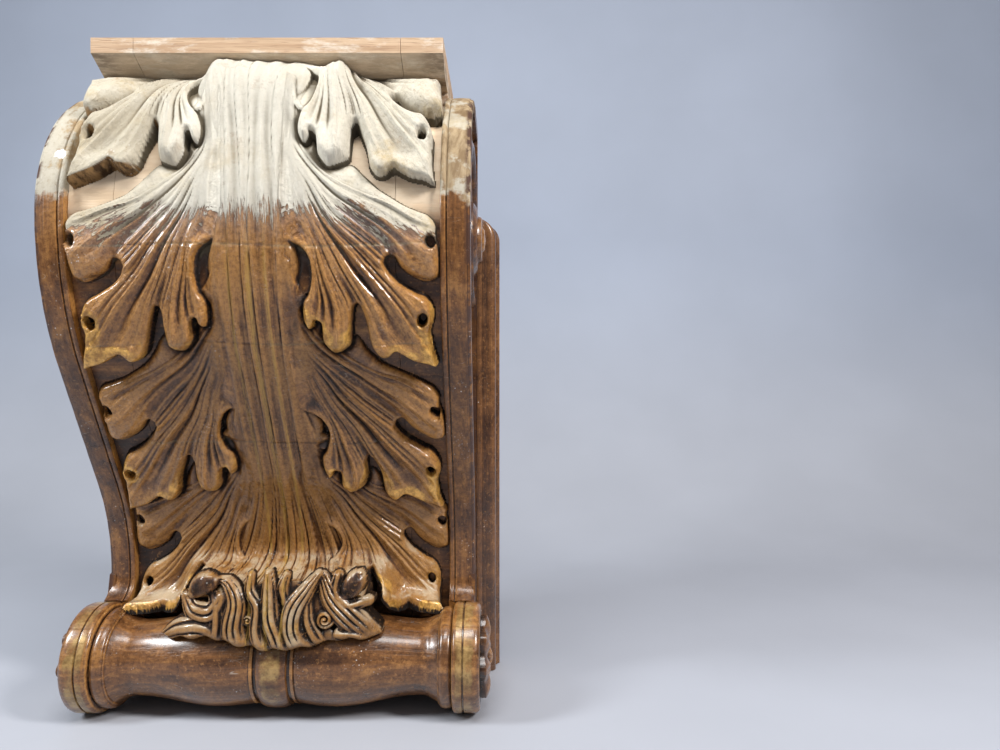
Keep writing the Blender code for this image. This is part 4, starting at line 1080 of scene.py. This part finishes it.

# %% [markdown]
# ### Old varnish
# The varnish is a dark red-brown film over pine. It is near black in the hollows and redder on the heights. This is
# partly varnish gathered in the hollows and worn thin on the heights, and partly painted shade in the hollows and
# painted light on the heights. It is cloudy in patches and gritty all over, with flecks of painted glint. The
# group takes the hollow value and gives the colour, the roughness and a little relief.

# %% Varnish group
VARNISH_TONES = ((0.10, (0.012, 0.005, 0.002)), (0.36, (0.062, 0.024, 0.009)), (0.58, (0.185, 0.076, 0.022)),
                 (0.84, (0.430, 0.205, 0.056)))
GRIT, GLINT_FLECK = (0.46, 0.41, 0.36), (0.42, 0.20, 0.065)
t, g_in, g_out = new_group("old_varnish", [PLACE, ("Hollow", FLOAT, 0.0), ("Streaks", FLOAT, 0.5),
                                           ("Depth", FLOAT, 0.0), ("Clouds", FLOAT, 1.0)],
                           [("Color", COLOR), ("Roughness", FLOAT), ("Height", FLOAT)])
mottle = g_in["Vector"].noise(90.0, 5.0, 0.65)
clouds = g_in["Vector"].noise(14.0, 4.0, 0.6).fit(0.30, 0.70, -0.21, 0.21) * g_in["Clouds"]
# Hollow darkens the tone in hollows and lightens it on heights: painted shade and light, with gathered varnish.
tone = clouds + 0.195 + mottle * 0.50 + g_in["Streaks"] * 0.40 - g_in["Hollow"] * 0.66 - g_in["Depth"]
ramp = t.node("ShaderNodeValToRGB", {"Fac": tone})
for share, color in VARNISH_TONES:
    ramp.color_ramp.elements.new(share).color = (*color, 1.0)
for end in (0, -1):
    ramp.color_ramp.elements.remove(ramp.color_ramp.elements[end])
grit = g_in["Vector"].noise(430.0, 4.0, 0.75).fit(0.40, 0.66, 0.0, 0.75)
# Small bright orange flecks over the grit are painted glints.
glint_flecks = g_in["Vector"].noise(330.0, 3.0, 0.7).fit(0.56, 0.68, 0.0, 0.40)
t.put(t.wires(ramp)["Color"].coat(grit, GRIT, "MULTIPLY").coat(glint_flecks, GLINT_FLECK), g_out["Color"])
t.put(mottle.fit(0.3, 0.75, 0.26, 0.46), g_out["Roughness"])
t.put(mottle * 0.4 + g_in["Streaks"] * 0.6, g_out["Height"])
VARNISH = t.tree

# %% [markdown]
# ### Gold and cream
# Two earlier finishes show. Bronze gold is left on the leaflets' tips, in the stem's grooves and on the roll's
# rims. At the top the varnish stops at a ragged brushed edge, and the cream ground under it shows. Both are
# patches: a mask, broken up by noise, that lets the other colour through.

# %% Patch group
t, g_in, g_out = new_group("worn_patch", [PLACE, ("Amount", FLOAT, 0.5), ("Size", FLOAT, 60.0),
                                          ("Edge", FLOAT, 0.12)], [("Mask", FLOAT)])
level = g_in["Amount"] - 0.5 + g_in["Vector"].noise(g_in["Size"], 6.0, 0.68)
t.put(level.fit(0.5 - g_in["Edge"], 0.5 + g_in["Edge"]), g_out["Mask"])
PATCH = t.tree
print("groups", [group.name for group in bpy.data.node_groups])


# %% [markdown]
# ## The leaf's finish
# From the top down: cream ground with tan stains and grey hollows of dirt and painted shade, greyer to the left
# and with a painted highlight at its middle, a brushed edge with a painted sheen below it, dark varnish with gold
# on the tips, and a golden brown at the foot. The arc value says how far down the leaf a point is, and lane and
# along run with each flute, so streaks follow the gouge.

# %% Material helpers
SPECK = (0.80, 0.78, 0.74)
CREAM, TAN_STAIN, CHALK = (0.53, 0.48, 0.38), (0.44, 0.34, 0.19), (0.66, 0.62, 0.53)
WORN_THROUGH, GREY_GRIT, HOLLOW_DIRT_AND_SHADE = (0.33, 0.20, 0.10), (0.24, 0.20, 0.15), (0.10, 0.078, 0.048)


def start_material(name):
    """A new material, its tree, its Principled shader and the place on the object in metres."""
    made = bpy.data.materials.new(name)
    made.use_nodes = True
    t = Tree(made.node_tree)
    return made, t, made.node_tree.nodes["Principled BSDF"], t.wire("ShaderNodeTexCoord", None, "Object")


def finish_material(t, shader, height, strength, distance, **surface):
    """Joins the colour and the other values to the shader, and a height as fine relief."""
    for key, value in surface.items():
        t.put(value, shader.inputs[key.replace("_", " ")])
    bump = t.wire("ShaderNodeBump", {"Height": height, "Strength": strength, "Distance": distance})
    t.put(bump, shader.inputs["Normal"])


def cream_colors(t, position, hollow):
    """Cream ground: chalky, with tan stains, and dark in the hollows from dirt and painted shade."""
    base = t.blend(position.noise(26.0, 5.0, 0.6).fit(0.50, 0.72), CREAM, TAN_STAIN)
    for scale, detail, low, high, amount, color in ((160.0, 4.0, 0.35, 0.70, 0.55, CHALK),
                                                    (60.0, 6.0, 0.60, 0.68, 0.60, WORN_THROUGH),
                                                    (480.0, 3.0, 0.52, 0.75, 0.55, GREY_GRIT)):
        base = base.coat(position.noise(scale, detail, 0.7).fit(low, high) * amount, color)
    return base.coat(hollow.fit(-0.15, 0.65, 0.0, 0.95), HOLLOW_DIRT_AND_SHADE)


# %% [markdown]
# ### Layers on the leaf
# The painter's layers are laid one over another in the order that they were put on, or worn off: varnish,
# which takes painted shade in its hollows, gold, the pale lines of glue, the brushed edge with a painted sheen
# below it, the cream ground with its painted highlight, broken wood, dust that also stands for painted
# highlights, and scratches. One material for the whole leaf keeps each layer running on from part to part
# without a break.

# %% Leaf material
ON_TIP, BROWN_FOOT, LOWER_LEAF_PAINTED_LIGHT, GROOVE_START, DUST_AND_HIGHLIGHT_START = (398.0, 399.5), (290.0, 390.0), (180.0, 320.0), \
    (105.0, 150.0), (300.0, 360.0)
CREASE_IN, CREASE_OUT, BROKEN_ABOVE, BROKEN_BESIDE = (336.0, 348.0), (384.0, 372.0), (104.0, 98.0), (-58.0, -66.0)
CREAM_FROM_STEM, CREAM_ENDS = (60.0, 112.0), (104.0, 119.0)
GOLD_LINE, GOLD_LINES = -2.0, (-14.5, 8.8)
FOOT_BROWN, DARK_GOLD, BRIGHT_GOLD = (0.30, 0.155, 0.045), (0.33, 0.155, 0.03), (0.92, 0.52, 0.125)
GROOVE_GOLD, GLUE_LINE = (0.50, 0.29, 0.06), (0.46, 0.33, 0.16)
PAINTED_SHEEN_BAND, BRUSH_RIM = (0.36, 0.28, 0.24), (0.05, 0.022, 0.012)
GREYER_LEFT_CREAM, CREAM_HIGHLIGHT_TONE = (0.36, 0.30, 0.20), (0.80, 0.765, 0.67)
DARK_SPLINTER, BARE_SPLINTER = (0.08, 0.04, 0.015), (0.33, 0.19, 0.075)
DUST_AND_HIGHLIGHT, LEAF_SCRATCH = (0.55, 0.45, 0.31), (0.62, 0.55, 0.45)


def gold_on_leaf(t, position, arc, hollow):
    """Where gold is left on the leaflets' lower lips and on the curled tip."""
    luck = position.noise(22.0, 3.0, 0.55).fit(0.38, 0.62, -0.42, 0.12)
    amount = t.value("tipness").fit(0.10, 0.75, 0.05, 0.78) + arc.fit(368.0, 385.0, 0.0, -0.20)
    amount = amount + arc.fit(*ON_TIP, luck, 0.24) - hollow.fit(-0.2, 0.6, 0.0, 0.30)
    return t.group(PATCH, Vector=position, Amount=amount, Size=75.0, Edge=0.16)["Mask"]


def leaf_material():
    made, t, shader, position = start_material("carved_leaf")
    arc, hollow, side = t.value("arc"), t.value("hollow"), t.value("sideways")
    flow = t.vector(t.value("along") * 0.02, t.value("lane"), t.value("tier"))
    streaks = flow.noise(2.2, 5.0, 0.62).fit(0.25, 0.75) * 0.55 + flow.noise(8.0, 4.0, 0.65).fit(0.32, 0.68) * 0.45
    streaks = (1.0 - t.value("calm")) * (streaks - 0.5) + 0.5
    # Towards the foot the varnish tone is lighter: painted light on the lower tiers, where less light reaches.
    depth = position.noise(9.0, 2.0).fit(0.4, 0.6, -0.18, arc.fit(*LOWER_LEAF_PAINTED_LIGHT, 0.02, -0.05))
    varnish = t.group(VARNISH, Vector=position, Hollow=hollow, Streaks=streaks,
                      Depth=depth + arc.fit(*ON_TIP, 0.0, 0.14))
    color = varnish["Color"].coat(arc.fit(*BROWN_FOOT, 0.0, 0.35) * hollow.fit(-0.2, 0.3, 1.0, 0.0), FOOT_BROWN)
    gold = gold_on_leaf(t, position, arc, hollow)
    color = color.coat(gold * 0.85, t.blend(position.noise(130.0, 4.0, 0.7).fit(0.35, 0.65), DARK_GOLD, BRIGHT_GOLD))
    grooves = abs(side - GOLD_LINE).fit(0.8, 2.2, 0.8, 0.0)
    for line in GOLD_LINES:
        grooves = grooves.larger(abs(side - line).fit(0.5, 1.6, 0.7, 0.0))
    color = color.coat(grooves * arc.fit(*GROOVE_START) * streaks.fit(0.25, 0.6), GROOVE_GOLD)
    color = color.coat(t.value("seam") * position.noise(40.0, 3.0).fit(0.40, 0.65, 0.0, 0.42), GLUE_LINE)

    wobble = (streaks - 0.5) * 24.0 + (position.noise(34.0, 5.0, 0.7) - 0.5) * 30.0 + hollow.fit(0.0, 1.0, 0.0, 26.0)
    above = abs(side).fit(*CREAM_FROM_STEM, *CREAM_ENDS) + wobble - arc
    # A pale band below the cream's edge is a painted sheen. The dark rim at the edge is the varnish's brushed end.
    color = color.coat(above.fit(-22.0, 2.0) * 0.30, PAINTED_SHEEN_BAND).coat(above.fit(-4.0, -1.5) * 0.6, BRUSH_RIM)
    cream = above.fit(-1.5, 1.5)
    # The cream turns a greyer tan towards the left side, in patches.
    greyer_left = side.fit(-20.0, -85.0, 0.12, 0.62) * position.noise(20.0, 4.0, 0.6).fit(0.32, 0.62)
    # The cream's middle, away from the hollows, is made paler: a painted highlight.
    cream_highlight = abs(side).fit(75.0, 40.0, 0.0, 0.42) * hollow.fit(0.0, 0.5, 1.0, 0.0)
    ground = cream_colors(t, position, hollow).coat(greyer_left, GREYER_LEFT_CREAM).coat(cream_highlight, CREAM_HIGHLIGHT_TONE)
    color = color.coat(cream, ground)

    facing = t.wire("ShaderNodeNewGeometry", None, "Normal").axis("Z")
    broken = facing.fit(-0.35, -0.6) * arc.fit(*BROKEN_ABOVE) * side.fit(*BROKEN_BESIDE)
    splinters = position.stretched((1.0, 0.4, 0.4)).noise(210.0, 4.0, 0.7).fit(0.40, 0.60)
    color = color.coat(broken, t.blend(splinters, DARK_SPLINTER, BARE_SPLINTER))
    # Upward faces and the tip's high ridges turn pale: dust, and painted highlights where light falls from above.
    upward = facing.fit(0.15, 0.75).larger(arc.fit(*ON_TIP) * t.value("rise").fit(7.0, 10.5))
    dust_and_highlight_mask = upward * position.noise(55.0, 5.0, 0.7).fit(0.38, 0.58, 0.0, 0.7) * hollow.fit(0.05, 0.30, 1.0, 0.0)
    color = color.coat(dust_and_highlight_mask * arc.fit(*DUST_AND_HIGHLIGHT_START), DUST_AND_HIGHLIGHT)
    marks = t.group(MARKS, Vector=position, Amount=0.8)
    color = color.coat(marks["Scratches"] * 0.5, LEAF_SCRATCH).coat(marks["Specks"], SPECK)

    crease = arc.fit(*CREASE_IN) * arc.fit(*CREASE_OUT)
    height = flow.noise(10.0, 4.0, 0.65) * 1.3 + varnish["Height"] * 0.5 + position.noise(520.0, 3.0, 0.6) * 0.45 \
        + cream * 0.5 + position.noise(190.0, 2.0, 0.6) * 0.9
    finish_material(t, shader, height, 0.8, 0.0011, Base_Color=color, Metallic=gold * 0.5 * (1.0 - cream),
                    Roughness=varnish["Roughness"] + cream * 0.42 + hollow.fit(0.3, 1.2, 0.0, 0.35),
                    Coat_Weight=(1.0 - cream) * hollow.fit(0.0, 0.9, 0.7, 0.0) * (1.0 - crease * 0.75),
                    Coat_Roughness=0.09, Specular_IOR_Level=0.3)
    return made


carved_leaf = leaf_material()
for piece in leaf:
    piece.data.materials.append(carved_leaf)
print("leaf material", len(carved_leaf.node_tree.nodes), "nodes")

# %% [markdown]
# ## Bare pine
# The core and the top board have lost nearly all their finish: orange-tan pine with pale residue in the grain
# and dirt at the edges. The field behind the leaf is the same wood, stained dark below the cream and painted
# paler above it, as light against the shade of its recess. The board's bevel is painted paler too, as light
# bounced up from below. These three pieces keep the CAD mesh, which is right as it is, and get softened edges
# from a modifier.

# %% Bare wood material
PINE, PINE_LINES, PINE_PORES = (0.55, 0.385, 0.245), (0.36, 0.215, 0.115), (0.24, 0.12, 0.06)
RESIDUE, FIELD_PINE_LIT = (0.74, 0.68, 0.58), (0.88, 0.68, 0.46)
BEVEL_PINE_LIT, BEVEL_DIRT = (0.86, 0.75, 0.58), (0.13, 0.085, 0.045)
UNDER_BOARD, BEVEL_FOOT, BEVEL_HEAD, STAIN_LINE = (0.20, 0.19), (0.206, 0.2085), (0.2185, 0.2192), (0.098, 0.118)


def bare_wood_material():
    made, t, shader, position = start_material("bare_pine")
    x, y, z = (position.axis(letter) for letter in "XYZ")
    grain = t.group(GRAIN, Vector=position)
    base = t.blend(grain["Lines"], PINE, PINE_LINES).coat(grain["Pores"] * 0.5, PINE_PORES)
    front = y.fit(-0.05, -0.07)
    residue = t.group(PATCH, Vector=position.stretched((0.5, 1.4, 1.4)),
                      Amount=z.fit(*UNDER_BOARD, 0.10, 0.18) * front + 0.32, Size=70.0, Edge=0.10)["Mask"]
    # Below the board the front is made paler pine: painted light against the shade of the recessed field.
    base = base.coat(residue * 0.75, RESIDUE).coat(z.fit(*UNDER_BOARD, 0.0, 0.72) * front, FIELD_PINE_LIT)
    bevel = z.fit(*BEVEL_HEAD, 1.0, 0.0) * z.fit(*BEVEL_FOOT)
    ends = abs(x).fit(0.095, 0.112, 0.22, 0.55)
    smear = position.stretched((0.35, 1.0, 1.0)).noise(85.0, 5.0, 0.75).fit(0.38, 0.60, 0.05, 1.35)
    # The bevel is made paler as painted light bounced up from below, then smeared with dirt towards its ends.
    base = base.coat(bevel * 0.45, BEVEL_PINE_LIT).coat(bevel * ends * smear, BEVEL_DIRT)
    stained = z.fit(*STAIN_LINE, 1.0, 0.0) * y.fit(-0.03, -0.06)
    varnish = t.group(VARNISH, Vector=position, Hollow=0.10, Streaks=grain["Lines"] * 0.5)
    finish_material(t, shader, grain["Lines"] * 0.6 - grain["Pores"] * 0.5, 0.4, 0.0006,
                    Base_Color=base.coat(stained, varnish["Color"]), Roughness=stained.fit(0.0, 1.0, 0.68, 0.42))
    return made


bare_pine = bare_wood_material()
for name in ("core_middle", "core_left", "core_right"):
    node = frame["nodes"][name]
    node.data.materials.clear()
    node.data.materials.append(bare_pine)
    soften = node.modifiers.new("soft_edges", "BEVEL")
    soften.width, soften.segments, soften.limit_method = 0.0006, 2, "ANGLE"
    soften.angle_limit = math.radians(35.0)
print("core pieces in", bare_pine.name)

# %% [markdown]
# ## Varnished boards, roll and gilt
# The cheeks, roll and mouldings wear the same varnish. Cream shows on the cheeks' upper edges, and gold on the
# roll's rims and centre band, where the gilt value is high. One function makes all three finishes, so they
# stay one varnish, with the grain turned to suit each board.

# %% Varnished wood materials
CHIP_PLACE, CHIP_WHITE = (-0.1215, -0.1527, 0.1455), (0.86, 0.86, 0.85)
DULL_GOLD, RUBBED_GOLD = (0.17, 0.10, 0.03), (0.46, 0.30, 0.11)
BARE_EDGE, BARE_EDGE_LINES, OLD_CREAM = (0.39, 0.29, 0.17), (0.20, 0.13, 0.065), (0.34, 0.30, 0.23)
RUBBED_CORNER, BOARD_SCRATCH = (0.07, 0.032, 0.02), (0.55, 0.47, 0.38)
UPRIGHT_GRAIN, LENGTHWAYS_GRAIN = (30.0, 1.0, 0.03), (1.0, 1.0, 1.0)


def board_material(name, grain_size, depth, gold_strength=0.0, cream_arc=None):
    made, t, shader, position = start_material(name)
    hollow, gilt = t.value("hollow"), t.value("gilt")
    grain = t.group(GRAIN, Vector=position.stretched(grain_size))["Lines"]
    varnish = t.group(VARNISH, Vector=position, Hollow=hollow, Streaks=grain * 0.50 + 0.22, Depth=depth, Clouds=0.45)
    amount = gilt * gold_strength - 0.02 - hollow * 0.25
    gold = t.group(PATCH, Vector=position, Amount=amount, Size=75.0, Edge=0.12)["Mask"] * gilt.fit(0.02, 0.3)
    leafing = t.blend(position.noise(110.0, 4.0, 0.7).fit(0.35, 0.65), DULL_GOLD, RUBBED_GOLD)
    color, rough, coat = varnish["Color"].coat(gold * 0.8, leafing), varnish["Roughness"], 0.8
    if cream_arc:
        wobble = (position.noise(30.0, 5.0, 0.65) - 0.5) * 70.0
        cream = (wobble + cream_arc - t.value("arc")).fit(-3.0, 3.0)
        across = position.axis("X")
        kept = t.group(PATCH, Vector=position, Amount=across.fit(-0.1, 0.1, 0.53, 0.47), Size=48.0, Edge=0.05)["Mask"]
        ground = t.blend(kept, t.blend(grain, BARE_EDGE, BARE_EDGE_LINES),
                         cream_colors(t, position, hollow).coat(0.45, OLD_CREAM))
        corner = abs(across).fit(0.1305, 0.1335) * position.noise(75.0, 4.0, 0.7).fit(0.42, 0.54)
        color = color.coat(cream, ground).coat(corner, RUBBED_CORNER)
        rough, coat = rough + cream * 0.4, (1.0 - cream) * 0.5
    chip = t.wire("ShaderNodeVectorMath", {0: position, 1: CHIP_PLACE}, "Value", operation="DISTANCE")
    chip = (chip - position.noise(220.0, 5.0, 0.75) * 0.0055).fit(0.0004, 0.0009, 1.0, 0.0)
    marks = t.group(MARKS, Vector=position, Amount=1.0)
    color = color.coat(chip, CHIP_WHITE).coat(marks["Scratches"] * 0.55, BOARD_SCRATCH).coat(marks["Specks"], SPECK)
    height = grain * 0.35 + varnish["Height"] * 0.5 - marks["Scratches"] * 0.5
    finish_material(t, shader, height, 0.7, 0.0007, Base_Color=color, Metallic=gold * 0.25, Roughness=rough,
                    Coat_Weight=coat, Coat_Roughness=0.19, Specular_IOR_Level=0.3)
    return made


cheek_finish = board_material("cheek_varnish", UPRIGHT_GRAIN, 0.08, cream_arc=95.0)
roll_finish = board_material("roll_varnish", LENGTHWAYS_GRAIN, 0.09, gold_strength=0.50)
moulding_finish = board_material("moulding_varnish", UPRIGHT_GRAIN, 0.14)
for pieces, finish in ((cheeks, cheek_finish), (mouldings, moulding_finish), (bosses + [roll], roll_finish)):
    for piece in pieces:
        piece.data.materials.append(finish)
print("materials", [m.name for m in bpy.data.materials])

# %% [markdown]
# ## Stage, light and camera
# The corbel stands on a pale floor that sweeps up into a pale backdrop, so nothing behind it draws the eye.
# A sweep of paper does this in a studio, and a bent sheet does it here.

# %% Stage
FLOOR_Z = -ORIGIN_HEIGHT * 0.001
HALF_SWEEP, SWEEP_START, SWEEP_RADIUS, SWEEP_TOP = 4.0, 0.3, 0.5, 3.0
PALE_FLOOR, PALE_WALL = (0.41, 0.425, 0.47), (0.335, 0.375, 0.46)


def build_stage():
    rows = [(-HALF_SWEEP, 0.0), (SWEEP_START, 0.0)]
    rows += [(SWEEP_START + SWEEP_RADIUS * math.sin(a), SWEEP_RADIUS * (1 - math.cos(a)))
             for a in np.linspace(0.05, math.pi / 2, 16)]
    rows += [(SWEEP_START + SWEEP_RADIUS, SWEEP_TOP)]
    points = [(x, y, FLOOR_Z + z) for y, z in rows for x in (-HALF_SWEEP, HALF_SWEEP)]
    faces = [(2 * k, 2 * k + 1, 2 * k + 3, 2 * k + 2) for k in range(len(rows) - 1)]
    mesh = bpy.data.meshes.new("sweep")
    mesh.from_pydata(points, [], faces)
    mesh.shade_smooth()
    sweep = bpy.data.objects.new("sweep", mesh)
    bpy.context.scene.collection.objects.link(sweep)
    sweep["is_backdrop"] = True
    made, t, shader, position = start_material("pale_sweep")
    cloud = position.noise(3.0, 4.0).fit(0.2, 0.8, 0.94, 1.06)
    paper = t.blend(position.axis("Z").fit(FLOOR_Z, FLOOR_Z + 0.5), PALE_FLOOR, PALE_WALL)
    t.put(paper.coat(1.0, t.vector(cloud, cloud, cloud), "MULTIPLY"), shader.inputs["Base Color"])
    t.put(0.55, shader.inputs["Roughness"])
    mesh.materials.append(made)
    return sweep


stage_sweep = build_stage()
print("stage", stage_sweep.name)


# %% [markdown]
# ### Lights and camera
# Two window-like lights, one from each side, draw long highlights down the varnish, and a wide one overhead
# fills the crown. The world gives a little even light, as a white room would. The camera has no tilt, so the
# cheeks and joints stay upright, and it looks to the corbel's right, so this corbel of the pair stands in the
# left half of the frame.

# %% Lights and camera
AIM = (0.0, -0.1, 0.0)
CAMERA_PLACE, LENS, SENSOR = (0.1534, -0.622, 0.007), 27.0, 36.0
ROOM_COLOR, ROOM_STRENGTH = (0.88, 0.89, 0.92), 0.24


def soft_light(name, place, size, power, color=(1.0, 1.0, 1.0)):
    lamp = bpy.data.lights.new(name, "AREA")
    lamp.shape, lamp.size, lamp.size_y, lamp.energy, lamp.color = "RECTANGLE", size[0], size[1], power, color
    holder = bpy.data.objects.new(name, lamp)
    bpy.context.scene.collection.objects.link(holder)
    holder.location = place
    holder.rotation_euler = (Vector(AIM) - Vector(place)).to_track_quat("-Z", "Y").to_euler()


soft_light("left_window", (-0.95, -0.52, 0.66), (0.26, 0.44), 14.0, (0.93, 0.97, 1.0))
soft_light("right_window", (1.02, -0.70, 0.80), (0.22, 0.36), 16.5, (1.0, 0.97, 0.95))
soft_light("overhead", (0.1, -0.66, 1.10), (0.8, 0.30), 11.5)
room = bpy.data.worlds.new("studio")
room.use_nodes = True
room.node_tree.nodes["Background"].inputs["Color"].default_value = (*ROOM_COLOR, 1.0)
room.node_tree.nodes["Background"].inputs["Strength"].default_value = ROOM_STRENGTH

eye = bpy.data.cameras.new("camera")
eye.lens, eye.sensor_width = LENS, SENSOR
viewer = bpy.data.objects.new("camera", eye)
bpy.context.scene.collection.objects.link(viewer)
viewer.location, viewer.rotation_euler = CAMERA_PLACE, (math.radians(90.0), 0.0, 0.0)
scene = bpy.context.scene
scene.world, scene.camera, scene.view_settings.view_transform = room, viewer, "Standard"
print("camera at", CAMERA_PLACE)

# %% Finish
low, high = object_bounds()
print("visual box", [round(v, 4) for v in low], [round(v, 4) for v in high])
